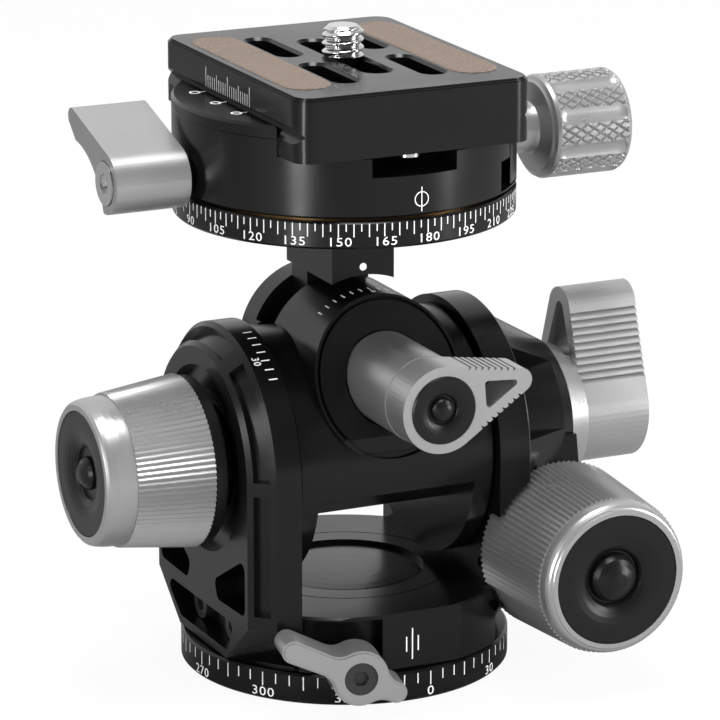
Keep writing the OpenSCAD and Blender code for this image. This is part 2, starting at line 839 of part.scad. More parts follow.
module right_arm() {
    color(black) difference() {
        union() {
            slab_x(arm_x, right_band - edge) arm_outline(arm_r);
            along_x(right_outer - edge, 0, axis_a) cylinder(h = edge, r1 = arm_r, r2 = arm_r - edge);
            translate([0, 0, foot_z]) linear_extrude(axis_a - foot_z) polygon([[arm_x, -arm_r],
                [right_outer - edge, -arm_r], [right_outer, -arm_r + edge],
                [right_outer, arm_r - edge], [right_outer - edge, arm_r], [arm_x, arm_r]]);
        }
        mirror([1, 0, 0]) foot_cuts(right_outer);
        along_x(arm_x - over, 0, axis_a)
            cylinder(h = right_band + 2 * over, r = right_trunnion_r + bush_wall);
        for (y = [-arm_screw_y, arm_screw_y]) along_x(arm_x - over, y, arm_screw_z) {
            cylinder(h = right_band + 2 * over, r = arm_screw_r);
            translate([0, 0, over + left_band]) cylinder(h = right_band, r = arm_head_r);
        }
        housing_screw_holes();
        along_x(arm_x - over, arm_hole_y, arm_hole_z) cylinder(h = over + arm_hole_d, r = arm_hole_r);
        front_knob_room();
    }
}

// The room round the front knob
module front_knob_room() {
    along_minus_y(front_knob_x, -front_knob_in + free_gap, front_knob_z)
        cylinder(h = arm_r, r = knob_big_r + free_gap);
}

module arm_screws() {
    color(dark) {
        for (y = [-arm_screw_y, arm_screw_y]) {
            along_minus_x(-left_outer + window_pocket, y, arm_screw_z)
                screw(arm_screw_r, arm_screw_l - arm_screw_gap, arm_head_r, arm_head_h);
            along_x(arm_x + left_band, y, arm_screw_z)
                screw(arm_screw_r, arm_screw_l - arm_screw_gap, arm_head_r, right_band - left_band);
        }
    }
}

module left_bush() {
    color(bronze) along_minus_x(-arm_x, 0, axis_a) difference() {
        cylinder(h = left_trunnion_end - arm_x, r = left_trunnion_r + bush_wall);
        translate([0, 0, -over])
            cylinder(h = left_trunnion_end, r = left_trunnion_r + run_gap);
    }
}

module right_bush() {
    color(bronze) along_x(arm_x, 0, axis_a) difference() {
        cylinder(h = right_band, r = right_trunnion_r + bush_wall);
        translate([0, 0, -over]) cylinder(h = right_band + 2 * over, r = right_trunnion_r + run_gap);
    }
}

// The holes of the screws that hold the gear housing to the right arm
module housing_screw_holes() {
    housing_screw_places() {
        translate([0, 0, -over]) cylinder(h = right_band + housing_screw_in + over, r = housing_screw_r);
        translate([0, 0, -over]) cylinder(h = housing_head_h + over, r = housing_head_r);
    }
}

module housing_screw_places() {
    for (a = housing_screw_angles)
        along_x(arm_x, -housing_screw_pcr * cos(a), axis_a + housing_screw_pcr * sin(a)) children();
}

module gear_housing() {
    reach = housing_end - right_outer;
    web_foot = front_knob_z - tube_r;
    color(black) difference() {
        union() {
            along_x(right_outer, 0, axis_a) rotate_extrude() polygon([[0, 0], [housing_cone_r, 0],
                [housing_cone_r, edge], [housing_end_r, reach], [0, reach]]);
            along_minus_y(front_knob_x, tube_back, front_knob_z) disc(tube_r, tube_back + tube_front);
            intersection() {
                slab_y(-front_knob_in, 2 * front_knob_in) polygon([[right_outer, axis_a],
                    [right_outer, web_foot], [front_knob_x, web_foot],
                    [front_knob_x + tube_r, front_knob_z], [housing_end, axis_a - tube_r],
                    [housing_end, axis_a]]);
                slab_x(right_outer, 2 * tube_r) polygon([[-hub_r, axis_a],
                    [-tube_front + edge, front_knob_z], [-tube_front + edge, web_foot],
                    [tube_back - edge, web_foot], [tube_back - edge, front_knob_z],
                    [hub_r, axis_a]]);
            }
        }
        for (from = [pocket_from, 180 - pocket_to])
            translate([right_outer, 0, axis_a]) rotate([90, 0, -90]) rotate([0, 0, from])
                rotate_extrude(angle = pocket_to - pocket_from)
                    translate([hub_r, -reach - over]) square([arm_r, reach + over - edge]);
        along_x(wheel_a_x - wheel_a_w / 2 - wheel_cavity_side, 0, axis_a)
            cylinder(h = wheel_a_w + 2 * wheel_cavity_side, r = wheel_cavity_r);
        along_x(right_outer - over, 0, axis_a)
            cylinder(h = wheel_a_x - right_outer, r = right_trunnion_r + free_gap);
        along_x(right_outer, 0, axis_a)
            cylinder(h = reach + over, r = right_trunnion_r - trunnion_step + run_gap);
        along_minus_y(front_knob_x, tube_back - tube_cap, front_knob_z)
            cylinder(h = tube_back + tube_front, r = tube_bore_r);
        translate([arm_x, -2 * arm_r, 0]) cube([right_band, 4 * arm_r, axis_a]);
        along_x(housing_end, 0, axis_a) cylinder(h = 2 * tube_r, r = right_flange_r + free_gap);
        front_knob_room();
        housing_screw_holes();
    }
}

module housing_screws() {
    color(dark) housing_screw_places() translate([0, 0, housing_head_h]) rotate([180, 0, 0])
        screw(housing_screw_r, right_band + housing_screw_in - housing_head_h - screw_end_gap,
            housing_head_r, housing_head_h);
}

module worm_bushes() {
    worm_end = worm_a_l / 2 + worm_side_gap;
    color(bronze) for (side = [[-tube_front, tube_front - worm_end],
        [worm_end, tube_back - tube_cap - worm_end]])
        along_y(front_knob_x, side[0], front_knob_z) difference() {
            cylinder(h = side[1], r = tube_bore_r);
            translate([0, 0, -over]) cylinder(h = side[1] + 2 * over, r = worm_journal_r + run_gap);
        }
}

module lever_outline(inset) {
    offset(delta = -inset) offset(r = -lever_fillet, $fn = hull_fn) offset(delta = lever_fillet) {
        circle(lever_barrel_r, $fn = hull_fn * 2);
        hull() {
            circle(lever_root_r, $fn = hull_fn);
            translate([-lever_l_u, lever_l_v]) circle(lever_l_r, $fn = hull_fn);
        }
        hull() {
            circle(lever_root_r, $fn = hull_fn);
            translate([lever_s_u, -lever_s_v]) circle(lever_s_r, $fn = hull_fn);
        }
    }
}

module base_lever() {
    face_y = facet_y + lever_off + lever_reach;
    color(silver) on_facet() along_minus_y(-base_lever_x, -face_y + lever_reach, base_lever_z)
        difference() {
            union() {
                linear_extrude(lever_reach - edge) lever_outline(0);
                translate([0, 0, lever_reach - 2 * edge])
                    linear_extrude(2 * edge) lever_outline(edge);
                translate([0, 0, -lever_off + face_gap]) cylinder(h = lever_off, r = lever_boss_r);
            }
            translate([0, 0, lever_reach - bolt_head_h]) cylinder(h = bolt_head_h + over, r = bolt_head_r);
            translate([0, 0, -2 * over]) cylinder(h = lever_reach + over, r = stud_r);
        }
}

module base_lever_bolt() {
    face_y = facet_y + lever_off + lever_reach;
    color(dark) on_facet() along_minus_y(-base_lever_x, -face_y + bolt_head_h, base_lever_z)
        screw(stud_r, face_y - bolt_head_h - spindle_r - shoe_l - free_gap, bolt_head_r - 0.05,
            bolt_head_h - 0.2);
}

// The tilt body's outside: a barrel across X, and a band along Y with a sloping front
module tilt_outer() {
    along_x(-barrel_x, 0, axis_a) disc(barrel_r, 2 * barrel_x);
    difference() {
        along_y(0, -band_front, axis_b) cylinder(h = band_front + rear_face, r = band_r);
        translate([0, -slope_y, axis_b]) rotate([-slope_turn, 0, 0])
            translate([-2 * band_r, -2 * band_r, -3 * band_r])
                cube([4 * band_r, 2 * band_r, 6 * band_r]);
    }
}

module tilt_housing() {
    relief_x = barrel_x - barrel_disc_w;
    color(black) difference() {
        tilt_outer();
        slab_x(-relief_x, 2 * relief_x) polygon([[-barrel_r - over, axis_a - relief_out_z],
            [-relief_in_y, axis_a - relief_in_z], [relief_in_y, axis_a - relief_in_z],
            [barrel_r + over, axis_a - relief_out_z], [barrel_r + over, axis_a - barrel_r - over],
            [-barrel_r - over, axis_a - barrel_r - over]]);
        slab_y(slot_front, slot_w) translate([0, axis_b]) polygon([[0, 0],
            2 * barrel_r * [sin(slot_open), cos(slot_open)], [0, 3 * barrel_r],
            2 * barrel_r * [-sin(slot_open), cos(slot_open)]]);
        along_y(0, -cavity_b_front, axis_b) cylinder(h = 2 * barrel_r, r = rear_cover_r);
        along_minus_y(0, -cover_in, axis_b) cylinder(h = barrel_r, r = cover_r);
        difference() {
            along_minus_y(0, -cover_in, axis_b) cylinder(h = barrel_r, r = cover_r + cover_groove);
            translate([0, cover_groove_d, 0]) tilt_outer();
        }
        along_minus_y(0, 0, axis_b) cylinder(h = barrel_r, r = axle_r + run_gap);
        along_x(-worm_cavity_x, 0, axis_a) cylinder(h = 2 * worm_cavity_x, r = worm_cavity_r);
        along_minus_x(-worm_cavity_x + over, 0, axis_a) cylinder(h = barrel_r, r = side_bush_r);
        along_minus_x(-trunnion_in, 0, axis_a) cylinder(h = barrel_r, r = left_trunnion_r);
        along_x(0, 0, axis_a) cylinder(h = barrel_r, r = side_end_bush_r);
        along_x(trunnion_in, 0, axis_a) cylinder(h = barrel_r, r = right_trunnion_r);
    }
}

module tilt_front_cover() {
    color(black) difference() {
        intersection() {
            tilt_outer();
            along_minus_y(0, -cover_in, axis_b) cylinder(h = barrel_r, r = cover_r);
        }
        along_minus_y(0, -axle_front, axis_b) cylinder(h = barrel_r, r = side_sleeve_r + free_gap);
        along_minus_y(0, 0, axis_b) cylinder(h = barrel_r, r = axle_r + run_gap);
    }
}

module tilt_rear_cover() {
    color(black) difference() {
        intersection() {
            tilt_outer();
            along_y(0, slot_back, axis_b) cylinder(h = barrel_r, r = rear_cover_r);
        }
        along_y(0, 0, axis_b) cylinder(h = axle_back + axle_back_gap, r = axle_r + run_gap);
        for (s = [-1, 1]) along_minus_y(s * rear_dimple_x, rear_face + over, axis_b)
            cylinder(h = rear_dimple_d + over, r = rear_dimple_r, $fn = 32);
    }
}

module left_trunnion() {
    color(steel) along_minus_x(-trunnion_in, 0, axis_a) difference() {
        cylinder(h = left_trunnion_end - trunnion_in, r = left_trunnion_r);
        translate([0, 0, -over]) cylinder(h = left_trunnion_end, r = side_bush_r);
    }
}

module right_trunnion() {
    step_x = wheel_a_x - wheel_a_w / 2 - wheel_cavity_side;
    color(steel) difference() {
        union() {
            along_x(trunnion_in, 0, axis_a) cylinder(h = step_x - trunnion_in, r = right_trunnion_r);
            along_x(step_x, 0, axis_a) cylinder(h = housing_end - free_gap - step_x,
                r = right_trunnion_r - trunnion_step);
        }
        along_x(housing_end - stud_in, 0, axis_a)
            cylinder(h = stud_in + over, r = lever_stud_r + run_gap);
    }
}

module front_worm_wheel() {
    bore_r = right_trunnion_r - trunnion_step;
    color(bronze) translate([wheel_a_x, 0, axis_a]) rotate([0, 90, 0]) difference() {
        union() {
            wheel_teeth(teeth_a, wheel_a_w, worm_a_r);
            cylinder(h = wheel_a_w, r = wheel_a_r - wheel_rim, center = true);
        }
        cylinder(h = wheel_a_w + 2 * over, r = bore_r, center = true);
    }
}

module side_worm_bushes() {
    color(bronze) {
        along_minus_x(-worm_cavity_x, 0, axis_a) difference() {
            cylinder(h = left_trunnion_end - worm_cavity_x, r = side_bush_r);
            translate([0, 0, -over]) cylinder(h = left_trunnion_end, r = worm_journal_r + run_gap);
        }
        along_x(worm_cavity_x, 0, axis_a) difference() {
            cylinder(h = side_end_x - worm_cavity_x, r = side_end_bush_r);
            translate([0, 0, -over]) cylinder(h = side_end_x, r = side_end_journal_r + run_gap);
        }
    }
}

module front_knob() {
    color(silver) along_minus_y(front_knob_x, -front_knob_in, front_knob_z)
        knob(front_knob_l, front_ridge_l, front_taper, front_rim_r, front_cap_r, worm_journal_r);
}

module front_knob_cap() {
    color(black) along_minus_y(front_knob_x, -front_knob_in - front_knob_l + cap_sunk, front_knob_z)
        cap(front_cap_r, front_cap);
}

module front_worm() {
    shaft_end = front_knob_in + front_knob_l - shaft_short;
    back = tube_back - tube_cap - shaft_end_gap;
    color(steel) {
        translate([front_knob_x, 0, front_knob_z]) rotate([-90, -90, 0]) worm_thread(worm_a_r, worm_a_l);
        along_y(front_knob_x, -shaft_end, front_knob_z)
            cylinder(h = shaft_end - worm_a_l / 2 + worm_join, r = worm_journal_r);
        along_y(front_knob_x, worm_a_l / 2 - worm_join, front_knob_z)
            cylinder(h = back - worm_a_l / 2 + worm_join, r = worm_journal_r);
    }
}

module right_lever() {
    hub_x = housing_end + lever_gap + right_flange_l;
    color(silver) difference() {
        union() {
            along_x(housing_end + lever_gap, 0, axis_a)
                cylinder(h = right_flange_l, r1 = right_flange_r, r2 = right_flange_end_r);
            slab_x(hub_x, right_lever_w) hull() {
                translate([0, axis_a]) circle(right_hub_r, $fn = 2 * hull_fn);
                translate([0, axis_a + right_top_z]) circle(right_top_r, $fn = hull_fn);
            }
        }
        slab_x(hub_x - over, right_lever_w + 2 * over) hull() {
            translate([0, axis_a + right_top_z]) circle(right_top_r - right_wall, $fn = hull_fn);
            for (s = [-1, 1]) translate([s * right_hole_y, axis_a + right_hole_z])
                circle(right_hole_r, $fn = hull_fn);
        }
        along_x(housing_end, 0, axis_a) cylinder(h = lever_stud_l, r = lever_stud_r);
        right_grooves(hub_x);
    }
}

// The grip's V grooves across the front of the right lever, along its tangent
module right_grooves(hub_x) {
    pitch = (right_rib_to - right_rib_from) / right_ribs;
    lean = asin((right_hub_r - right_top_r) / right_top_z);
    for (i = [0:right_ribs - 1]) let (z = right_rib_from + (i + 0.5) * pitch,
        y = right_hub_r / cos(lean) - z * tan(lean))
        translate([hub_x - over, -y, axis_a + z]) rotate([0, 90, 0]) rotate([0, 0, lean])
            linear_extrude(right_lever_w + 2 * over)
                polygon([[0, right_rib_depth], [pitch * right_rib_share, -over / 2],
                    [-pitch * right_rib_share, -over / 2]]);
}

module right_lever_stud() {
    color(steel) along_x(housing_end - stud_in + stud_end_gap, 0, axis_a)
        cylinder(h = stud_in + lever_stud_l - stud_end_gap, r = lever_stud_r);
}

module left_knob() {
    color(silver) along_minus_x(-left_knob_in, 0, axis_a)
        knob(left_knob_l, knob_ridge_l, knob_taper, knob_rim_r, knob_cap_r, worm_journal_r);
}

module left_knob_cap() {
    color(black) along_minus_x(-left_knob_in - left_knob_l + cap_sunk, 0, axis_a)
        cap(knob_cap_r, left_cap);
}

module left_knob_collar() {
    color(black) along_x(-left_knob_in, 0, axis_a) difference() {
        union() {
            disc(collar_r, collar_t);
            cylinder(h = left_knob_in - left_trunnion_end - free_gap, r = collar_boss_r);
        }
        translate([0, 0, -over]) cylinder(h = left_knob_in, r = worm_journal_r);
    }
}

module side_worm() {
    shaft_end = left_knob_in + left_knob_l - shaft_short;
    color(steel) {
        translate([0, 0, axis_a]) rotate([90, 0, 90]) rotate([0, 0, 90]) worm_thread(worm_b_r, worm_b_l);
        along_minus_x(-worm_b_l / 2 + worm_join, 0, axis_a)
            cylinder(h = shaft_end - worm_b_l / 2 + worm_join, r = worm_journal_r);
        along_x(worm_b_l / 2 - worm_join, 0, axis_a)
            cylinder(h = side_end_x - shaft_end_gap - worm_b_l / 2 + worm_join, r = side_end_journal_r);
    }
}

module neck() {
    eye_front = slot_front + eye_gap;
    eye_w = slot_w - eye_gap - eye_back_gap;
    saddle_r = band_r + saddle_gap;
    color(black) difference() {
        union() {
            along_y(0, eye_front, axis_b) cylinder(h = eye_w, r = eye_r);
            translate([-neck_x, eye_front, axis_b]) cube([2 * neck_x, eye_w, neck_h - over]);
            translate([-neck_x, -neck_front, axis_b + band_r - 2 * over])
                cube([2 * neck_x, neck_front + neck_back, neck_h - band_r + 2 * over]);
        }
        along_minus_y(0, eye_front, axis_b) cylinder(h = neck_front + slot_front + over, r = saddle_r);
        along_y(0, slot_back - eye_back_gap, axis_b) cylinder(h = neck_back, r = saddle_r);
        along_y(0, 0, axis_b) cylinder(h = neck_back, r = axle_r);
        head_screw_holes(dial_z - head_screw_in, head_screw_r);
    }
}

module head_screw_holes(z, r) {
    for (x = [-head_screw_x, head_screw_x]) for (y = [-head_screw_y, head_screw_y])
        translate([x, y + head_shift_y, z]) cylinder(h = dial_z, r = r);
}

module side_worm_wheel() {
    boss_l = slot_front + eye_gap - wheel_b_y - wheel_b_w / 2;
    color(bronze) translate([0, wheel_b_y, axis_b]) difference() {
        union() {
            rotate([-90, 0, 0]) rotate([0, 0, 90]) wheel_teeth(teeth_b, wheel_b_w, worm_b_r);
            along_y(0, -wheel_b_w / 2, 0) cylinder(h = wheel_b_w, r = wheel_b_r - wheel_rim);
            along_y(0, 0, 0) cylinder(h = wheel_b_w / 2 + boss_l, r = wheel_boss_r);
        }
        along_y(0, -wheel_b_w, 0) cylinder(h = 2 * wheel_b_w + boss_l, r = axle_r);
    }
}

module side_axle() {
    color(steel) {
        along_minus_y(0, axle_back, axis_b) cylinder(h = axle_back + axle_front, r = axle_r);
        along_minus_y(0, -axle_front, axis_b)
            cylinder(h = side_lever_front - side_lever_t - axle_front + axle_stud_in, r = axle_stud_r);
    }
}

module upper_dial() {
    color(black) difference() {
        translate([0, 0, dial_z]) disc(drum_r, dial_t);
        head_screw_holes(dial_z - over, head_screw_r);
    }
}

module head_washer() {
    color(bronze) translate([0, 0, dial_top]) difference() {
        cylinder(h = washer_t, r = head_washer_r);
        translate([0, 0, -over]) cylinder(h = washer_t + 2 * over, r = head_spindle_r + free_gap);
    }
}

module head_spindle() {
    color(steel) difference() {
        translate([0, 0, dial_top])
            cylinder(h = drum_shoulder + face_gap - dial_top, r = head_spindle_r);
        head_screw_holes(dial_z, head_screw_r);
    }
}

module head_retainer() {
    color(steel) translate([0, 0, drum_shoulder + face_gap]) difference() {
        cylinder(h = retainer_t, r = retainer_r);
        head_screw_holes(-over, head_screw_r);
        translate([0, 0, retainer_t / 2]) head_screw_holes(0, head_head_r);
    }
}

module head_screws() {
    z = drum_shoulder + face_gap + retainer_t / 2;
    color(dark) for (x = [-head_screw_x, head_screw_x]) for (y = [-head_screw_y, head_screw_y])
        translate([x, y + head_shift_y, z])
            screw(head_screw_r, z - dial_z + head_screw_in - screw_end_gap, head_head_r, retainer_t / 2);
}

module side_lever_outline() {
    hull() {
        circle(side_hub_r, $fn = 2 * hull_fn);
        translate([side_tip_x, side_tip_z]) circle(side_tip_r, $fn = hull_fn);
    }
}

module side_lever() {
    color(silver) difference() {
        slab_y(-side_lever_front, side_lever_t) translate([0, axis_b]) side_lever_outline();
        slab_y(-side_lever_front - over, side_lever_t + 2 * over) translate([0, axis_b]) hull() {
            for (p = side_hole) translate(p) circle(side_hole_r, $fn = hull_fn / 2);
        }
        along_minus_y(0, -side_lever_front + side_recess, axis_b)
            cylinder(h = side_recess + over, r = side_cap_r);
        along_minus_y(0, -side_lever_front + side_lever_t + over, axis_b)
            cylinder(h = side_lever_t, r = axle_stud_r + run_gap);
        side_grooves();
    }
}

// The saw grooves along the upper and lower edges of the side lever's arm
module side_grooves() {
    reach = norm([side_tip_x, side_tip_z]);
    turn = atan2(side_tip_z, side_tip_x);
    lean = asin((side_hub_r - side_tip_r) / reach);
    for (s = [-1, 1]) for (i = [0:side_grooves_n - 1])
        let (t = side_groove_from + i * side_groove_pitch)
        slab_y(-side_lever_front - over, side_lever_t + 2 * over) translate([0, axis_b])
            rotate(turn + s * (90 - lean)) translate([side_hub_r, -s * t])
                polygon([[-side_groove_d, 0], [over / 2, s * side_groove_pitch * side_groove_top],
                    [over / 2, -s * side_groove_pitch * side_groove_low]]);
}

module side_lever_sleeve() {
    color(black) along_minus_y(0, -axle_front - free_gap, axis_b) difference() {
        cylinder(h = side_lever_front - side_lever_t - axle_front - free_gap, r = side_sleeve_r);
        translate([0, 0, -over]) cylinder(h = side_lever_front, r = axle_stud_r + run_gap);
    }
}

module side_lever_cap() {
    color(black) along_minus_y(0, -side_lever_front - side_cap_out, axis_b)
        cap(side_cap_r, side_cap);
}

// Outline of a jaw's lip, which holds the plate by its groove
module lip() {
    polygon([[jaw_x, jaw_top - edge], [jaw_x, jaw_top], [jaw_x - lip_h, jaw_top + lip_rise],
        [jaw_x + lip_top_w, jaw_top + lip_rise], [jaw_x + lip_w, jaw_top], [jaw_x + lip_w, jaw_top - edge]]);
}

// The drum's round block and both lips, before the channel and the moving jaw part it
module drum_block() {
    translate([0, 0, drum_z]) disc(drum_r, drum_h);
    intersection() {
        for (m = [0, 1]) mirror([m, 0, 0]) slab_y(-drum_r, 2 * drum_r) lip();
        translate([0, 0, drum_z]) cylinder(h = 2 * drum_h, r = lip_r);
    }
}

module clamp_drum() {
    color(black) difference() {
        drum_block();
        translate([-jaw_x, -drum_r - over, channel_z])
            cube([2 * drum_r, 2 * (drum_r + over), jaw_h]);
        translate([-jaw_x + 2 * lip_h, -drum_r - over, channel_z])
            cube([2 * drum_r, 2 * (drum_r + over), 2 * jaw_h]);
        translate([split_x, -drum_r - over, jaw_floor])
            cube([drum_r, 2 * (drum_r + over), drum_h]);
        translate([drum_window_x, -drum_window_y, drum_z + drum_floor])
            cube([drum_r, 2 * drum_window_y, jaw_floor - drum_z - drum_floor]);
        translate([0, 0, drum_z - over]) cylinder(h = drum_h, r = head_spindle_r + run_gap);
        translate([0, 0, drum_shoulder]) cylinder(h = drum_h, r = drum_cap_r);
        translate([-front_notch_l, -drum_r - over, front_notch_z])
            cube([front_notch_l + front_notch_r, drum_r - drum_cap_r / 2, jaw_h * 2]);
        translate([-pin_groove, 0, channel_z - pin_groove_d]) cube([2 * pin_groove, 2 * drum_r, jaw_h]);
        along_x(clamp_screw_in - clamp_tip_gap, 0, clamp_axis)
            cylinder(h = drum_r, r = clamp_screw_r + clamp_screw_gap);
        for (y = [-guide_y, guide_y]) along_x(guide_in, y, clamp_axis) cylinder(h = drum_r, r = guide_r);
        along_minus_x(0, 0, pan_axis) cylinder(h = drum_r + over, r = pan_screw_r + run_gap);
        along_minus_x(0, 0, pan_axis) cylinder(h = head_spindle_r + pan_brake_l, r = pan_brake_r);
    }
}

module drum_cap() {
    color(black) translate([0, 0, channel_z - drum_cap_sunk - drum_cap_t]) disc(drum_cap_r, drum_cap_t);
}

module guide_pins() {
    color(steel) for (y = [-guide_y, guide_y]) along_x(guide_in, y, clamp_axis)
        cylinder(h = drum_r - guide_in - guide_wall - guide_end_gap, r = guide_r);
}

module pan_brake() {
    color(bronze) difference() {
        along_minus_x(0, 0, pan_axis) cylinder(h = head_spindle_r + pan_brake_l, r = pan_brake_r);
        translate([0, 0, drum_z - over]) cylinder(h = drum_h, r = head_spindle_r + run_gap);
    }
}

module clamp_jaw() {
    color(black) difference() {
        intersection() {
            drum_block();
            translate([jaw_x, -drum_r, drum_z + drum_floor + free_gap])
                cube([drum_r, 2 * drum_r, 2 * drum_h]);
        }
        along_x(0, 0, clamp_axis) cylinder(h = 2 * drum_r, r = clamp_screw_r + clamp_screw_gap);
        for (y = [-guide_y, guide_y]) along_x(0, y, clamp_axis)
            cylinder(h = drum_r - guide_wall, r = guide_r + run_gap);
    }
    color(black) intersection() {
        slab_y(-drum_r, 2 * drum_r) lip();
        translate([0, 0, drum_z]) cylinder(h = 2 * drum_h, r = lip_r);
    }
}

module clamp_knob() {
    neck_l = clamp_knob_in - drum_r - free_gap;
    color(silver) along_x(drum_r + free_gap, 0, clamp_axis) difference() {
        rotate_extrude() polygon([[0, 0], [clamp_neck_r, 0], [clamp_neck_r, neck_l - clamp_flare],
            [clamp_neck_r + clamp_flare, neck_l], [clamp_knob_r - clamp_chamfer, neck_l],
            [clamp_knob_r, neck_l + clamp_chamfer], [clamp_knob_r, neck_l + clamp_knob_l - clamp_chamfer],
            [clamp_knob_r - clamp_chamfer, neck_l + clamp_knob_l], [0, neck_l + clamp_knob_l]]);
        translate([0, 0, -over]) cylinder(h = neck_l + clamp_knob_l / 2 + over, r = clamp_screw_r);
        for (i = [0:knob_strips - 1]) rotate([0, 0, knob_strip_turn + i * 360 / knob_strips])
            translate([clamp_knob_r + knob_strip_r - knob_strip_d, 0, neck_l + knob_strip_in])
                cylinder(h = clamp_knob_l - 2 * knob_strip_in, r = knob_strip_r);
    }
}

module clamp_screw() {
    color(steel) along_x(clamp_screw_in, 0, clamp_axis)
        cylinder(h = clamp_knob_in + clamp_knob_l / 2 - screw_end_gap - clamp_screw_in, r = clamp_screw_r);
}

module pan_lever() {
    color(silver) difference() {
        slab_x(-pan_lever_in - pan_lever_w, pan_lever_w) translate([0, pan_axis]) difference() {
            hull() {
                circle(pan_hub_r, $fn = 2 * hull_fn);
                translate([pan_tip_y, pan_tip_z]) circle(pan_tip_r, $fn = hull_fn);
            }
            translate([pan_hollow_y, pan_hollow_z]) circle(pan_hollow_r);
        }
        along_minus_x(-pan_lever_in - pan_lever_w + pan_recess, 0, pan_axis)
            cylinder(h = pan_recess + over, r = pan_recess_r);
        along_minus_x(0, 0, pan_axis) cylinder(h = 2 * drum_r, r = pan_screw_r);
    }
}

module pan_lever_screw() {
    tip = head_spindle_r + pan_brake_l + free_gap;
    color(steel) {
        along_minus_x(-pan_lever_in - pan_lever_w + pan_recess, 0, pan_axis)
            screw(pan_screw_r, pan_lever_in + pan_lever_w - pan_recess - tip, pan_head_r, pan_head_h);
        along_minus_x(-drum_r - pan_washer_gap, 0, pan_axis) difference() {
            disc(pan_washer_r, pan_lever_in - drum_r - pan_washer_gap, edge / 2);
            translate([0, 0, -over]) cylinder(h = 3 * over, r = pan_screw_r / 2);
        }
    }
}

module plate_outline(inset) {
    w = plate_w / 2 - inset;
    l = plate_l / 2 - inset;
    c = plate_corner - inset;
    square([2 * w - 2 * c, 2 * l], center = true);
    square([2 * w, 2 * l - 2 * c], center = true);
    for (x = [-1, 1]) for (y = [-1, 1]) translate([x * (w - c), y * (l - c)]) circle(c);
}

// A straight slot with round ends, from y0 to y1
module long_slot(x, y0, y1, w) {
    translate([x - w / 2, y0 + w / 2]) square([w, y1 - y0 - w]);
    for (y = [y0 + w / 2, y1 - w / 2]) translate([x, y]) circle(w / 2);
}

// The bevel round the top of a long slot
module slot_bevels(x, y0, y1, w) {
    r = w / 2;
    reach = slot_bevel + edge / 2;
    translate([x, 0, plate_top]) slab_y(y0 + r, y1 - y0 - w)
        polygon([[0, -slot_bevel - r], [r + reach, edge / 2], [-r - reach, edge / 2]]);
    for (y = [y0 + r, y1 - r]) translate([x, y, plate_top - slot_bevel])
        cylinder(h = reach, r1 = r, r2 = r + reach);
}

module dovetail_plate() {
    color(black) difference() {
        union() {
            translate([0, 0, plate_z]) linear_extrude(plate_t - plate_edge) plate_outline(0);
            translate([0, 0, plate_top - plate_edge]) linear_extrude(plate_edge / 2)
                plate_outline(plate_edge / 2);
            translate([0, 0, plate_top - plate_edge / 2]) linear_extrude(plate_edge / 2)
                plate_outline(plate_edge);
        }
        for (s = [-1, 1]) slab_y(-plate_l, 2 * plate_l) polygon([[s * plate_w / 2, plate_z + groove_low],
            [s * (plate_w / 2 - groove_depth), plate_z + (groove_low + groove_high) / 2],
            [s * plate_w / 2, plate_z + groove_high], [s * plate_w, plate_z + groove_high],
            [s * plate_w, plate_z + groove_low]]);
        translate([0, 0, plate_z - over]) linear_extrude(plate_t + 2 * over) {
            for (x = [-slot_x, slot_x]) {
                long_slot(x, slot_from, slot_to, slot_narrow);
                long_slot(x, -slot_to, -slot_from, slot_narrow);
            }
            long_slot(0, -slot_mid_to, slot_mid_to, slot_mid_w);
        }
        for (x = [-slot_x, slot_x]) {
            slot_bevels(x, slot_from, slot_to, slot_narrow);
            slot_bevels(x, -slot_to, -slot_from, slot_narrow);
        }
        slot_bevels(0, -slot_mid_to, slot_mid_to, slot_mid_w);
        translate([0, 0, plate_z - over]) linear_extrude(camera_pocket_h + over)
            long_slot(0, -camera_travel - camera_pocket_r - camera_y,
                camera_travel + camera_pocket_r + camera_y, 2 * camera_pocket_r);
        translate([0, 0, plate_top - pad_sunk]) linear_extrude(plate_t) pads_outline(0);
        for (y = [-pin_y, pin_y]) translate([0, y, plate_z - over])
            cylinder(h = over + pin_in, r = pin_stem_r);
    }
}

module pads_outline(gap) {
    for (x = [-pad_x, pad_x]) long_slot(x, -pad_from + gap, pad_to - gap, pad_w - 2 * gap);
}

module grip_pads() {
    color(brown) translate([0, 0, plate_top - pad_sunk]) linear_extrude(pad_t) pads_outline(0);
}

module stop_pins() {
    color(steel) for (y = [-pin_y, pin_y]) translate([0, y, plate_z]) {
        rotate([180, 0, 0]) disc(pin_r, pin_h, pin_edge);
        cylinder(h = pin_in - pin_edge, r = pin_stem_r);
    }
}

module camera_washer() {
    color(black) translate([0, camera_y, plate_z + camera_pocket_h - camera_washer_t - camera_gap])
        difference() {
            cylinder(h = camera_washer_t, r = camera_head_r);
            translate([0, 0, -over]) cylinder(h = 3 * over, r = camera_neck_r + run_gap);
        }
}

module camera_screw() {
    head_top = plate_z + camera_pocket_h - camera_washer_t - 2 * camera_gap;
    color(steel) translate([0, camera_y, 0]) difference() {
        union() {
            translate([0, 0, head_top - camera_head_h]) disc(camera_head_r, camera_head_h);
            translate([0, 0, head_top]) cylinder(h = plate_top - head_top, r = camera_neck_r);
            translate([0, 0, plate_top + camera_thread_from])
                cylinder(h = camera_h - camera_point - camera_thread_from, r = camera_r);
            translate([0, 0, plate_top + camera_h - camera_point])
                cylinder(h = camera_point, r1 = camera_r, r2 = camera_point_r);
            translate([0, 0, plate_top - over]) cylinder(h = 2 * over, r = camera_neck_r);
        }
        translate([-camera_head_r - over, -camera_slot_w / 2, head_top - camera_head_h - over])
            cube([2 * camera_head_r + 2 * over, camera_slot_w, camera_slot_w + over]);
    }
}

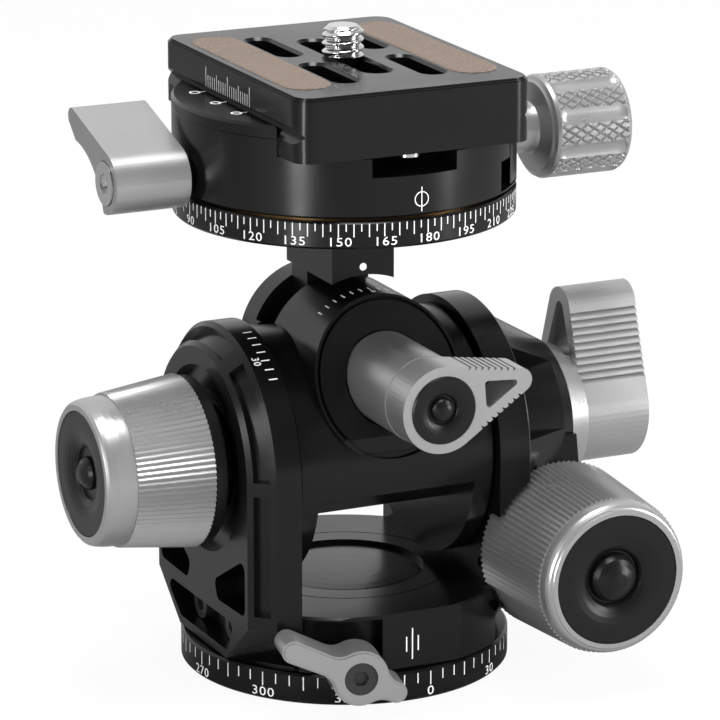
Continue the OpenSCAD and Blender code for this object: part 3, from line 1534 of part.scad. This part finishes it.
base_dial();
base_spindle();
base_screws();
retaining_ring();
retaining_screws();
thrust_washer();
base_table();
table_cap();
brake_shoe();
left_arm();
right_arm();
arm_screws();
left_bush();
right_bush();
gear_housing();
housing_screws();
worm_bushes();
base_lever();
base_lever_bolt();
tilt_housing();
tilt_front_cover();
tilt_rear_cover();
left_trunnion();
right_trunnion();
front_worm_wheel();
side_worm_bushes();
front_knob();
front_knob_cap();
front_worm();
right_lever();
right_lever_stud();
left_knob();
left_knob_cap();
left_knob_collar();
side_worm();
neck();
side_worm_wheel();
side_axle();
upper_dial();
head_washer();
head_spindle();
head_retainer();
head_screws();
side_lever();
side_lever_sleeve();
side_lever_cap();
clamp_drum();
drum_cap();
guide_pins();
pan_brake();
clamp_jaw();
clamp_knob();
clamp_screw();
pan_lever();
pan_lever_screw();
dovetail_plate();
grip_pads();
stop_pins();
camera_washer();
camera_screw();
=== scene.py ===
import json
import math

import bpy
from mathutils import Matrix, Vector

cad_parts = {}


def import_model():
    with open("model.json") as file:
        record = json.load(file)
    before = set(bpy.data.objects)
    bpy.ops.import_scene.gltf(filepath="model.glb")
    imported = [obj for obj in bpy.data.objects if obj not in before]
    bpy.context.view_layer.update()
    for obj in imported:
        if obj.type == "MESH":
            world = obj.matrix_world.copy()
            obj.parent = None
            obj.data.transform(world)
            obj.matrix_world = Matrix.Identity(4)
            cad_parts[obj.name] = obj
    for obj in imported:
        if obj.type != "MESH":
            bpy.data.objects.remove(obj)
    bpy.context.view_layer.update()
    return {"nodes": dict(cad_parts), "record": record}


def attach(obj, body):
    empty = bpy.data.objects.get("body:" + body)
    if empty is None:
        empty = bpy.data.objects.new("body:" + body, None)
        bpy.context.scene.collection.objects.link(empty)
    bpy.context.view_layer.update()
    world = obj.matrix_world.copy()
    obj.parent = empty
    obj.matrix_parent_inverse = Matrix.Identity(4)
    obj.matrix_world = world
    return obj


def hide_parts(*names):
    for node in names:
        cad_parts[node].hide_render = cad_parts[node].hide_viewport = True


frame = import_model()
NODES = frame["nodes"]
MM = 0.001

# Sizes and places that the drawn pieces follow, in millimetres, in the CAD's frame
BASE_R = 25.35
BASE_H = 4.7
TABLE_FACET_Y = -24.2
TABLE_MARK_Z = 8.7
TILT_Z = 34.3
SIDE_Z = 48.0
ARM_R = 20.5
ARM_BAND_X = -18
BAND_R = 12.0
BAND_Y = -8.2
NECK_Y = -6.7
NECK_MARK_Z = 63.1
DIAL_Z = 70.85
DIAL_TOP = 75.0
DRUM_R = 26.0
DRUM_TOP = 88.85
CLAMP_AXIS_Z = 80.2
PLATE_Z = 84.5
PLATE_TOP = 94.15
PLATE_HALF_W = 19.0
PAD_X = 13.55
PAD_FRONT_Y = -19.3
PAD_BACK_Y = 20.5
PAD_W = 7.5
CAMERA_SCREW_Y = 0.5
CAMERA_SCREW_R = 3.175

# Marks stand this far out of the face that they are printed on, and go as far in
INK_OUT = 0.02
INK_IN = 0.05

# The lettering: the height of a capital as a share of the font's size, and its spacing
CAPITAL_SHARE = 0.7
LETTER_SPACE = 1.12
TEXT_EXTRUDE = 0.5
TEXT_CURVE_STEPS = 3
DIAL_TEXT_STRETCH = 1.22


# The finishes
FINE_DETAIL = 3
PATCH_SCALE = 120
PATCH_DETAIL = 4
PATCH_LOW = 0.3
PATCH_HIGH = 0.7


def shader(name, color, metallic, roughness, **more):
    """A Principled material; more sets other sockets by name."""
    mat = bpy.data.materials.new(name)
    mat.use_nodes = True
    bsdf = mat.node_tree.nodes["Principled BSDF"]
    bsdf.inputs["Base Color"].default_value = (*color, 1)
    bsdf.inputs["Metallic"].default_value = metallic
    bsdf.inputs["Roughness"].default_value = roughness
    for key, value in more.items():
        bsdf.inputs[key.replace("_", " ")].default_value = value
    return mat


def grain(mat, scale, depth, rough_from=None, rough_to=None):
    """Fine bump, and a slow change of roughness, from noise in the object's own space."""
    tree = mat.node_tree
    bsdf = tree.nodes["Principled BSDF"]
    coord = tree.nodes.new("ShaderNodeTexCoord")
    fine = tree.nodes.new("ShaderNodeTexNoise")
    fine.inputs["Scale"].default_value = scale
    fine.inputs["Detail"].default_value = FINE_DETAIL
    tree.links.new(coord.outputs["Object"], fine.inputs["Vector"])
    bump = tree.nodes.new("ShaderNodeBump")
    bump.inputs["Strength"].default_value = 1
    bump.inputs["Distance"].default_value = depth
    tree.links.new(fine.outputs["Fac"], bump.inputs["Height"])
    tree.links.new(bump.outputs["Normal"], bsdf.inputs["Normal"])
    if rough_from is not None:
        slow = tree.nodes.new("ShaderNodeTexNoise")
        slow.inputs["Scale"].default_value = PATCH_SCALE
        slow.inputs["Detail"].default_value = PATCH_DETAIL
        tree.links.new(coord.outputs["Object"], slow.inputs["Vector"])
        spread = tree.nodes.new("ShaderNodeMapRange")
        spread.inputs["From Min"].default_value = PATCH_LOW
        spread.inputs["From Max"].default_value = PATCH_HIGH
        spread.inputs["To Min"].default_value = rough_from
        spread.inputs["To Max"].default_value = rough_to
        tree.links.new(slow.outputs["Fac"], spread.inputs["Value"])
        tree.links.new(spread.outputs["Result"], bsdf.inputs["Roughness"])
    return mat


black = grain(shader("black_anodised", (0.003, 0.003, 0.0032), metallic=0, roughness=0.28,
                     Specular_IOR_Level=0.3),
              scale=9000, depth=0.003 * MM, rough_from=0.2, rough_to=0.27)
silver = grain(shader("silver_anodised", (0.37, 0.37, 0.375), metallic=0.75, roughness=0.3),
               scale=7000, depth=0.003 * MM, rough_from=0.27, rough_to=0.36)
steel = grain(shader("bright_steel", (0.66, 0.66, 0.67), metallic=1, roughness=0.16),
              scale=4000, depth=0.002 * MM, rough_from=0.13, rough_to=0.22)
dark_steel = grain(shader("dark_steel", (0.03, 0.03, 0.032), metallic=0.4, roughness=0.36),
                   scale=4000, depth=0.003 * MM)
bronze = grain(shader("bronze", (0.45, 0.27, 0.1), metallic=1, roughness=0.3),
               scale=5000, depth=0.003 * MM)
plastic = grain(shader("black_plastic", (0.004, 0.004, 0.0043), metallic=0, roughness=0.32,
                       Specular_IOR_Level=0.3),
                scale=6000, depth=0.003 * MM)
pad = grain(shader("grip_pad", (0.17, 0.132, 0.107), metallic=0, roughness=0.8),
            scale=2600, depth=0.03 * MM)
ink = shader("white_ink", (0.72, 0.72, 0.72), metallic=0, roughness=0.5)

FINISH = {
    "black_anodised": black,
    "silver_anodised": silver,
    "steel": steel,
    "dark_steel": dark_steel,
    "bronze": bronze,
    "black_plastic": plastic,
    "pad": pad,
}

# Pieces whose finish differs from their material's
COATED = {"side_lever_sleeve": silver, "left_bush": plastic, "thrust_washer": plastic}


def paint(obj, mat):
    """Gives an object this material alone."""
    obj.data.materials.clear()
    obj.data.materials.append(mat)


for part in frame["record"]["subparts"]:
    paint(NODES[part["node"]], COATED.get(part["node"], FINISH[part["material_slot"]]))


# Meshes
def linked(name, data):
    """A new object with this data, in the scene."""
    obj = bpy.data.objects.new(name, data)
    bpy.context.scene.collection.objects.link(obj)
    return obj


def skinned(rows):
    """Points and faces of a closed body through rows of equally many points."""
    n = len(rows[0])
    last = (len(rows) - 1) * n
    faces = [[k * n + i, k * n + (i + 1) % n, (k + 1) * n + (i + 1) % n, (k + 1) * n + i]
             for k in range(len(rows) - 1) for i in range(n)]
    faces += [list(range(n))[::-1], [last + i for i in range(n)]]
    return [point for row in rows for point in row], faces


def spaced(start, end, steps):
    """Places from start to end, in so many equal steps."""
    return [start + (end - start) * i / steps for i in range(steps + 1)]


class Piece:
    """Collects points in millimetres, and faces, of one mesh that rides on one body."""

    def __init__(self):
        self.verts = []
        self.faces = []

    def add(self, verts, faces):
        """Adds points in millimetres, and faces that count from the first of them."""
        start = len(self.verts)
        self.verts += [Vector(v) * MM for v in verts]
        self.faces += [[start + i for i in f] for f in faces]

    def raised(self, at, outline):
        """A flat mark with this outline, from inside its face to just outside it."""
        self.add(*skinned([[at(u, v, out) for u, v in outline] for out in (-INK_IN, INK_OUT)]))

    def bar(self, at, u0, u1, v0, v1):
        """A thin bar from (u0, v0) to (u1, v1)."""
        self.raised(at, [(u0, v0), (u1, v0), (u1, v1), (u0, v1)])

    def tick(self, at, width, v0, v1):
        """A thin upright bar, centred on u = 0."""
        self.bar(at, -width / 2, width / 2, v0, v1)

    def dot(self, at, radius, steps=24):
        """A round dot on (0, 0)."""
        angles = [2 * math.pi * i / steps for i in range(steps)]
        self.raised(at, [(radius * math.cos(a), radius * math.sin(a)) for a in angles])

    def ring(self, at, radius, width, steps=40):
        """A thin ring round (0, 0)."""
        section = [(radius - width / 2, -INK_IN), (radius + width / 2, -INK_IN),
                   (radius + width / 2, INK_OUT), (radius - width / 2, INK_OUT)]
        sides = len(section)
        verts = []
        faces = []
        for i in range(steps):
            a = 2 * math.pi * i / steps
            verts += [at(r * math.cos(a), r * math.sin(a), out) for r, out in section]
            here = sides * i
            there = sides * ((i + 1) % steps)
            faces += [[here + k, there + k, there + (k + 1) % sides, here + (k + 1) % sides]
                      for k in range(sides)]
        self.add(verts, faces)

    def text(self, at, words, height, stretch=1.0):
        """Words centred on (0, 0), with capitals of this height."""
        curve = bpy.data.curves.new("words", "FONT")
        curve.body = words
        curve.align_x = "CENTER"
        curve.align_y = "CENTER"
        curve.size = height / CAPITAL_SHARE
        curve.space_character = LETTER_SPACE
        curve.extrude = TEXT_EXTRUDE
        curve.resolution_u = TEXT_CURVE_STEPS
        obj = linked("words", curve)
        bpy.context.view_layer.update()
        mesh = bpy.data.meshes.new_from_object(
            obj.evaluated_get(bpy.context.evaluated_depsgraph_get()))
        verts = [at(v.co.x * stretch, v.co.y, INK_OUT if v.co.z > 0 else -INK_IN)
                 for v in mesh.vertices]
        self.add(verts, [list(p.vertices) for p in mesh.polygons])
        bpy.data.objects.remove(obj)
        bpy.data.curves.remove(curve)
        bpy.data.meshes.remove(mesh)

    def build(self, name, body, mat):
        """Makes the mesh, which rides on this body."""
        mesh = bpy.data.meshes.new(name)
        mesh.from_pydata(self.verts, [], self.faces)
        mesh.update()
        mesh.materials.append(mat)
        obj = linked(name, mesh)
        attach(obj, body)
        return obj


# Faces that marks are printed on: each turns (u, v, out) on the face into a point
def round_z(radius, z):
    """A wall round Z: u turns to the right seen from outside, v goes up."""
    def place(angle):
        def at(u, v, out):
            a = math.radians(angle) + u / radius
            r = radius + out
            return Vector((r * math.cos(a), r * math.sin(a), z + v))
        return at
    return place


def round_y(radius, y):
    """A wall round the side tilt axis: u goes along X over the top, v towards the back."""
    def place(angle):
        def at(u, v, out):
            a = math.radians(angle) + u / radius
            r = radius + out
            return Vector((r * math.sin(a), y + v, SIDE_Z + r * math.cos(a)))
        return at
    return place


def round_x(radius, x):
    """A wall round the front tilt axis; the angle goes from the top to the front."""
    def place(angle):
        def at(u, v, out):
            a = math.radians(angle) + u / radius
            r = radius + out
            return Vector((x + v, -r * math.sin(a), TILT_Z + r * math.cos(a)))
        return at
    return place


def flat(origin, right, up):
    """A flat face, from its origin, right and up."""
    origin, right, up = Vector(origin), Vector(right).normalized(), Vector(up).normalized()
    normal = right.cross(up)

    def at(u, v, out):
        return origin + right * u + up * v + normal * out
    return at


# The printed marks
def dial(marks, place, step, zero, every, short, long, top, width):
    """Ticks all round a dial, hanging from its top edge, with one long tick in so many."""
    for i in range(round(360 / step)):
        length = short if i % every else long
        marks.tick(place(zero + i * step), width, top - length, top)


def base_dial_marks():
    """Ticks round the base dial, and a number every 30 degrees."""
    zero = -84.1
    edge_gap = 0.42
    number_step = 30
    number_z = 1.13
    number_h = 1.4
    marks = Piece()
    dial(marks, round_z(BASE_R, 0), step=5, zero=zero, every=3, short=1.6, long=2.15,
         top=BASE_H - edge_gap, width=0.17)
    for value in range(0, 360, number_step):
        marks.text(round_z(BASE_R, number_z)(zero + value), str(value), number_h,
                   stretch=DIAL_TEXT_STRETCH)
    marks.build("base_dial_marks", "base", ink)


def table_marks():
    """The index on the table's front facet, and the scale on the left arm's band."""
    line_w = 0.2
    line_gap = 0.97
    middle_half = 2.45
    side_half = 1.2
    tick_w = 0.18
    tick_from = -0.75
    tick_to = 0.65
    tick_first = 12
    tick_step = 5
    ticks = 7
    number_x = -19.55
    number_angle = 32
    number_h = 1.15
    marks = Piece()
    front = flat((0, TABLE_FACET_Y, TABLE_MARK_Z), (1, 0, 0), (0, 0, 1))
    for u, half in ((-line_gap, side_half), (0, middle_half), (line_gap, side_half)):
        marks.bar(front, u - line_w / 2, u + line_w / 2, -half, half)
    band = round_x(ARM_R, ARM_BAND_X)
    for i in range(ticks):
        marks.tick(band(tick_first + tick_step * i), tick_w, tick_from, tick_to)
    marks.text(round_x(ARM_R, number_x)(number_angle), "30", number_h)
    marks.build("table_marks", "frame", ink)


def upper_dial_marks():
    """Ticks round the upper dial, and a number every 15 degrees."""
    half_turn_mark = -86.95
    edge_gap = 0.3
    number_step = 15
    number_shift = 0.4
    number_z = 71.95
    number_h = 1.3
    marks = Piece()
    dial(marks, round_z(DRUM_R, DIAL_Z), step=2.5, zero=half_turn_mark, every=2, short=1.1,
         long=1.95, top=DIAL_TOP - DIAL_Z - edge_gap, width=0.15)
    for value in range(0, 360, number_step):
        angle = half_turn_mark + value - 180 + number_shift
        marks.text(round_z(DRUM_R, number_z)(angle), str(value), number_h,
                   stretch=DIAL_TEXT_STRETCH)
    marks.build("upper_dial_marks", "head_mount", ink)


def side_band_marks():
    """The scale of the side tilt, over the band of the tilt body."""
    tick_w = 0.18
    tick_half = 0.65
    tick_step = 7
    ticks_each_side = 6
    middle_angle = 1.2
    number_y = -9.75
    number_angle = 1.3
    number_h = 1.0
    marks = Piece()
    band = round_y(BAND_R, BAND_Y)
    for i in range(-ticks_each_side, ticks_each_side + 1):
        marks.tick(band(middle_angle + tick_step * i), tick_w, -tick_half, tick_half)
    marks.text(round_y(BAND_R, number_y)(number_angle), "0", number_h)
    marks.build("side_band_marks", "tilt", ink)


def neck_mark():
    """The white dot on the neck's front."""
    dot_r = 0.58
    marks = Piece()
    marks.dot(flat((0, NECK_Y, NECK_MARK_Z), (1, 0, 0), (0, 0, 1)), dot_r)
    marks.build("neck_mark", "head_mount", ink)


def drum_marks():
    """The index on the drum's wall, and three pointers on the left jaw's top."""
    index_z = 77.88
    index_angle = -89.3
    index_r = 1.08
    index_ring_w = 0.14
    index_line_w = 0.14
    index_half = 1.85
    pointer_x = -20.85
    pointer_ys = (8.3, 0.4, -7.2)
    pointer_r = 0.72
    pointer_ring_w = 0.3
    pointer_from = 0.5
    pointer_to = 1.75
    pointer_w = 0.18
    marks = Piece()
    index = round_z(DRUM_R, index_z)(index_angle)
    marks.ring(index, index_r, index_ring_w)
    marks.tick(index, index_line_w, -index_half, index_half)
    for y in pointer_ys:
        spot = flat((pointer_x, y, DRUM_TOP), (1, 0, 0), (0, 1, 0))
        marks.ring(spot, pointer_r, pointer_ring_w)
        marks.bar(spot, pointer_from, pointer_to, -pointer_w / 2, pointer_w / 2)
    marks.build("drum_marks", "clamp", ink)


def plate_marks():
    """The scale on the plate's left side, with longer ticks at every fifth and tenth."""
    ticks = 21
    first = -8.3
    pitch = 0.803
    tick_w = 0.13
    foot = 5.13
    top = 6.95
    fifth_top = 7.52
    tenth_top = 8.15
    marks = Piece()
    side = flat((-PLATE_HALF_W, 0, PLATE_Z), (0, -1, 0), (0, 0, 1))
    for i in range(ticks):
        high = tenth_top if i % 10 == 0 else fifth_top if i % 5 == 0 else top
        u = first + pitch * i
        marks.bar(side, u - tick_w / 2, u + tick_w / 2, foot, high)
    marks.build("plate_marks", "plate", ink)


base_dial_marks()
table_marks()
upper_dial_marks()
side_band_marks()
neck_mark()
drum_marks()
plate_marks()


# The turned and textured pieces
def lathe(name, rings, steps, place, mat, body, *nodes):
    """A body of revolution in place of these nodes; a ring is (place along the axis, radius)."""
    rows = []
    for along, radius in rings:
        row = []
        for i in range(steps):
            a = 2 * math.pi * i / steps
            r = radius(a) if callable(radius) else radius
            row.append(place(along, r * math.cos(a), r * math.sin(a)))
        rows.append(row)
    piece = Piece()
    piece.add(*skinned(rows))
    obj = piece.build(name, body, mat)
    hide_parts(*nodes)


def clamp_grip():
    """The clamp knob: smooth round hollows between bands of diamond knurling."""
    neck_gap = 0.35
    neck_l = 6.1
    grip_l = 13.3
    radius = 8.05
    neck_r = 3.8
    bevel = 0.8
    start = DRUM_R + neck_gap
    shoulder = DRUM_R + neck_l
    end = shoulder + grip_l
    # The hollows, and the angle of the first
    hollows = 9
    hollow_r = 2.4
    hollow_d = 0.4
    hollow_in = 0.95
    hollow_ease = 1.2
    first = math.radians(-80)
    turn = 2 * math.pi / hollows
    # The knurling: a diamond's width round the knob and length along it, and its grooves
    diamond_w = 1.45
    diamond_l = 2.2
    lean = math.atan2(diamond_w, diamond_l)
    pitch = diamond_l * math.sin(lean)
    groove_w = 0.24
    groove_d = 0.42
    smooth_half = math.radians(7.9)
    end_fade = 0.3
    side_fade = 0.2
    # The profile of both ends
    neck_end = 1.4
    cone_start = 0.9
    cone_rise = 0.25
    cone_end = 0.3
    cone_step = 1.1
    bevel_mid = 0.3
    bevel_mid_drop = 0.25
    face_step = 2.2
    dish_step = 2.4
    dish_d = 0.25
    steps = 540
    rows = 150

    def groove(s):
        off = abs((s / pitch + 0.5) % 1 - 0.5) * pitch
        return groove_d * max(0, 1 - off / groove_w)

    def skin(x):
        into = max(0, min(1, min(x - shoulder - hollow_in, end - hollow_in - x) / hollow_ease))
        sunk = hollow_d * math.sqrt(1 - (1 - into) ** 2)
        centre = radius + hollow_r - sunk

        def radius_at(a):
            off = (a - first + turn / 2) % turn - turn / 2
            reach = hollow_r ** 2 - (centre * math.sin(off)) ** 2
            hollow = centre * math.cos(off) - math.sqrt(reach) if reach > 0 else radius
            hollow = min(hollow, radius)
            c = (abs(off) - turn / 2) * radius * (1 if off > 0 else -1)
            cut = max(groove(x * math.sin(lean) + c * math.cos(lean)),
                      groove(x * math.sin(lean) - c * math.cos(lean)))
            ends = min(x - shoulder - bevel, end - bevel - x)
            edge = (abs(off) - smooth_half) * radius
            return min(hollow,
                       radius - cut * min(1, max(0, ends / end_fade), max(0, edge / side_fade)))
        return radius_at

    rings = [(start, neck_r), (shoulder - neck_end, neck_r),
             (shoulder - cone_start, neck_r + cone_rise), (shoulder - cone_end, radius - cone_step),
             (shoulder, radius - bevel), (shoulder + bevel_mid, radius - bevel_mid_drop)]
    rings += [(x, skin(x)) for x in spaced(shoulder + bevel, end - bevel, rows)]
    rings += [(end - bevel_mid, radius - bevel_mid_drop), (end, radius - bevel),
              (end, radius - face_step), (end - dish_d, radius - dish_step)]
    lathe("clamp_grip", rings, steps,
          lambda x, u, v: Vector((x, u, CLAMP_AXIS_Z + v)), silver, "jaw_drive", "clamp_knob")


def camera_thread():
    """The camera screw: a slotted head, a neck and a helix of round crests with a chamfered top."""
    head_up = 2.7
    head_h = 2.4
    head_r = 4.7
    head_bevel = 0.2
    slot_w = 1.2
    slot_depth = 1.2
    slot_overlap = 0.02
    neck_r = 2.0
    head_top = PLATE_Z + head_up
    head_low = head_top - head_h
    slot_top = head_low + slot_depth
    # The thread, whose chamfer starts below its top
    pitch = 1.27
    depth = 0.62
    thread_from = 0.1
    thread_to = 4.7
    bottom = PLATE_TOP + thread_from
    top = PLATE_TOP + thread_to
    crest_power = 0.8
    chamfer_start = 0.9
    chamfer_slope = 1.1
    chamfer_out = 0.05
    steps = 96
    rows = 64
    half_steps = 32

    def skin(z):
        def radius_at(a):
            phase = ((z - bottom) / pitch - a / (2 * math.pi)) % 1
            wave = 0.5 + 0.5 * math.cos(2 * math.pi * phase)
            chamfer = (CAMERA_SCREW_R + chamfer_out
                       - chamfer_slope * max(0, z - top + chamfer_start))
            return min(CAMERA_SCREW_R - depth * (1 - wave ** crest_power), chamfer)
        return radius_at

    rings = [(slot_top - slot_overlap, head_r), (head_top - head_bevel, head_r),
             (head_top, head_r - head_bevel), (head_top, neck_r), (bottom, neck_r)]
    rings += [(z, skin(z)) for z in spaced(bottom, top, rows)]
    lathe("camera_thread", rings, steps,
          lambda z, u, v: Vector((u, CAMERA_SCREW_Y + v, z)), steel, "camera_bolt", "camera_screw")

    # The two halves of the head beside the slot
    halves = Piece()
    half_turn = math.acos(slot_w / 2 / head_r)
    for middle in (-math.pi / 2, math.pi / 2):
        arc = spaced(middle - half_turn, middle + half_turn, half_steps)
        halves.add(*skinned([[(r * math.cos(a), CAMERA_SCREW_Y + r * math.sin(a), z) for a in arc]
                             for z, r in ((head_low, head_r - head_bevel),
                                          (head_low + head_bevel, head_r), (slot_top, head_r))]))
    halves.build("camera_screw_head", "camera_bolt", steel)


def jaw_top_trim(name, side, body, gap):
    """The top of one jaw, a segment of the drum that stands beside the plate's groove."""
    chord = PLATE_HALF_W + gap
    trim_h = 2.1
    bevel = 0.4
    foot_in = 0.3
    foot_h = 0.25
    proud = 0.015
    arc_steps = 96
    z_low = DRUM_TOP - trim_h
    rows = []
    for z, r in ((z_low, DRUM_R - foot_in), (z_low + foot_h, DRUM_R + proud),
                 (DRUM_TOP - bevel, DRUM_R + proud), (DRUM_TOP, DRUM_R - bevel)):
        reach = math.acos(chord / r)
        rows.append([(side * r * math.cos(a), r * math.sin(a), z)
                     for a in spaced(-reach, reach, arc_steps)])
    verts, faces = skinned(rows)
    if side < 0:
        faces = [f[::-1] for f in faces]
    piece = Piece()
    piece.add(verts, faces)
    piece.build(name, body, black)


def pad_top(name, x):
    """One grip pad: a strip with round ends and a field of small diamonds on its top."""
    y0 = PAD_FRONT_Y
    y1 = PAD_BACK_Y
    half = PAD_W / 2
    sunk = 0.55
    proud = 0.25
    z_low = PLATE_TOP - sunk
    z_top = PLATE_TOP + proud
    pitch = 0.95
    relief = 0.17
    groove_slope = 2.2
    edge_drop = 0.15
    edge_w = 0.2
    end_in = 0.02
    least_half = 0.05
    rows = 300
    columns = 56
    count = columns + 1

    def half_width(y):
        into = min(y - y0, y1 - y)
        return half if into >= half else math.sqrt(max(0, half ** 2 - (half - into) ** 2))

    def height(px, py):
        a = abs(((px + py) / pitch) % 1 - 0.5) * 2
        b = abs(((px - py) / pitch) % 1 - 0.5) * 2
        return z_top - relief * max(0, 1 - min(a, b) * groove_slope)

    # The first and last rows lie on the pad's ends, and the others are evenly spaced between
    lines = spaced(y0 + end_in, y1 - end_in, rows)
    lines[0] = y0
    lines[-1] = y1
    verts = []
    for y in lines:
        w = max(half_width(y), least_half)
        for u in spaced(-w, w, columns):
            edge = min(w - abs(u), y - y0, y1 - y)
            verts.append((x + u, y, height(u, y) - edge_drop * max(0, 1 - edge / edge_w)))
    faces = [[k * count + i, k * count + i + 1, (k + 1) * count + i + 1, (k + 1) * count + i]
             for k in range(rows) for i in range(columns)]

    # The wall goes down from the border of the top to the underside
    border = (list(range(count)) + [k * count + columns for k in range(1, rows + 1)]
              + [rows * count + i for i in range(columns - 1, -1, -1)]
              + [k * count for k in range(rows - 1, 0, -1)])
    base = len(verts)
    n = len(border)
    verts += [(verts[i][0], verts[i][1], z_low) for i in border]
    faces += [[border[(i + 1) % n], border[i], base + i, base + (i + 1) % n] for i in range(n)]
    faces.append([base + i for i in range(n)][::-1])
    piece = Piece()
    piece.add(verts, faces)
    return piece.build(name, "plate", pad)


JAW_GAP = 0.08
clamp_grip()
camera_thread()
jaw_top_trim("left_jaw_top", -1, "clamp", JAW_GAP)
jaw_top_trim("right_jaw_top", 1, "jaw", JAW_GAP)
left_pad = pad_top("left_grip_pad", -PAD_X)
pad_top("right_grip_pad", PAD_X)
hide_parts("grip_pads")


# The floor, the world and the lights, in metres and watts
FLOOR_HALF = 3.0
FLOOR_Z = -0.0002
FLOOR_GREY = 0.3
FLOOR_GLOW = 1.1
FLOOR_GLOW_SHARE = 0.85
GRADIENT_FROM = -0.35
GRADIENT_TO = 0.75
GRADIENT_DIM = 0.14
GRADIENT_BRIGHT = 0.95
MIDDLE = (0, 0, 0.05)
LIGHTS = [
    dict(name="left_strip", place=(-0.8, -0.2, 0.25), target=MIDDLE, width=0.1, height=0.8, power=2.2),
    dict(name="right_strip", place=(0.7, -0.45, 0.25), target=MIDDLE, width=0.1, height=0.8, power=4.5),
    dict(name="top_box", place=(0.0, -0.05, 0.9), target=MIDDLE, width=0.4, height=0.4, power=8),
    dict(name="low_left", place=(-0.27, -0.2, 0.05), target=(0, 0, 0.07), width=0.05, height=0.16,
         power=0.45),
    dict(name="low_right", place=(0.3, -0.3, 0.06), target=(0, 0, 0.06), width=0.05, height=0.16,
         power=0.4),
    dict(name="front_fill", place=(0.1, -0.95, 0.3), target=MIDDLE, width=0.5, height=0.5, power=11,
         glossy=False),
]


def area(name, place, target, width, height, power, glossy=True):
    """An area light that faces its target; one that isn't glossy shows in no reflection."""
    data = bpy.data.lights.new(name, "AREA")
    data.shape = "RECTANGLE"
    data.size = width
    data.size_y = height
    data.energy = power
    obj = linked(name, data)
    obj.location = place
    obj.rotation_euler = (Vector(target) - Vector(place)).to_track_quat("-Z", "Y").to_euler()
    obj.visible_glossy = glossy


def floor():
    """A grey floor that takes the shadow, and looks nearly white to the camera."""
    mesh = bpy.data.meshes.new("floor")
    s = FLOOR_HALF
    mesh.from_pydata([(-s, -s, 0), (s, -s, 0), (s, s, 0), (-s, s, 0)], [], [[0, 1, 2, 3]])
    mat = bpy.data.materials.new("floor")
    mat.use_nodes = True
    tree = mat.node_tree
    tree.nodes.clear()
    out = tree.nodes.new("ShaderNodeOutputMaterial")
    diffuse = tree.nodes.new("ShaderNodeBsdfDiffuse")
    diffuse.inputs["Color"].default_value = (FLOOR_GREY, FLOOR_GREY, FLOOR_GREY, 1)
    glow = tree.nodes.new("ShaderNodeEmission")
    glow.inputs["Strength"].default_value = FLOOR_GLOW
    path = tree.nodes.new("ShaderNodeLightPath")
    seen = tree.nodes.new("ShaderNodeMath")
    seen.operation = "MULTIPLY"
    seen.inputs[1].default_value = FLOOR_GLOW_SHARE
    mix = tree.nodes.new("ShaderNodeMixShader")
    tree.links.new(path.outputs["Is Camera Ray"], seen.inputs[0])
    tree.links.new(seen.outputs[0], mix.inputs[0])
    tree.links.new(diffuse.outputs[0], mix.inputs[1])
    tree.links.new(glow.outputs[0], mix.inputs[2])
    tree.links.new(mix.outputs[0], out.inputs["Surface"])
    mesh.materials.append(mat)
    obj = linked("floor", mesh)
    obj.location = (0, 0, FLOOR_Z)


def world():
    """White to the camera; to the part, bright behind it and dim on the camera's side."""
    w = bpy.data.worlds.new("studio")
    bpy.context.scene.world = w
    w.use_nodes = True
    tree = w.node_tree
    tree.nodes.clear()
    out = tree.nodes.new("ShaderNodeOutputWorld")
    coord = tree.nodes.new("ShaderNodeTexCoord")
    split = tree.nodes.new("ShaderNodeSeparateXYZ")
    tree.links.new(coord.outputs["Generated"], split.inputs[0])
    depth = tree.nodes.new("ShaderNodeMapRange")
    depth.interpolation_type = "SMOOTHSTEP"
    depth.inputs["From Min"].default_value = GRADIENT_FROM
    depth.inputs["From Max"].default_value = GRADIENT_TO
    depth.inputs["To Min"].default_value = GRADIENT_DIM
    depth.inputs["To Max"].default_value = GRADIENT_BRIGHT
    tree.links.new(split.outputs["Y"], depth.inputs["Value"])
    lit = tree.nodes.new("ShaderNodeBackground")
    lit.inputs["Color"].default_value = (1, 1, 1, 1)
    tree.links.new(depth.outputs["Result"], lit.inputs["Strength"])
    white = tree.nodes.new("ShaderNodeBackground")
    white.inputs["Strength"].default_value = 1
    path = tree.nodes.new("ShaderNodeLightPath")
    mix = tree.nodes.new("ShaderNodeMixShader")
    tree.links.new(path.outputs["Is Camera Ray"], mix.inputs[0])
    tree.links.new(lit.outputs[0], mix.inputs[1])
    tree.links.new(white.outputs[0], mix.inputs[2])
    tree.links.new(mix.outputs[0], out.inputs["Surface"])


floor()
world()
for light in LIGHTS:
    area(**light)


# The camera, fitted to the photograph: places in metres, the focal length and the shift in pixels
AZIMUTH = math.radians(-25.09)
ELEVATION = math.radians(15.978)
DISTANCE = 0.6666
AIM = Vector((0, 0, 0.04676))
FOCAL_PX = 4362.3
IMAGE_PX = 720
SENSOR_MM = 36
AXIS_PX_LEFT = 15.8
CLIP_NEAR = 0.01
CLIP_FAR = 10
back = Vector((math.sin(AZIMUTH) * math.cos(ELEVATION),
               -math.cos(AZIMUTH) * math.cos(ELEVATION), math.sin(ELEVATION)))
camera = linked("camera", bpy.data.cameras.new("camera"))
camera.data.sensor_width = SENSOR_MM
camera.data.lens = FOCAL_PX * SENSOR_MM / IMAGE_PX
camera.data.shift_x = AXIS_PX_LEFT / IMAGE_PX
camera.location = AIM + back * DISTANCE
camera.rotation_euler = (-back).to_track_quat("-Z", "Y").to_euler()
camera.data.clip_start = CLIP_NEAR
camera.data.clip_end = CLIP_FAR
bpy.context.scene.camera = camera
bpy.context.scene.view_settings.view_transform = "Standard"
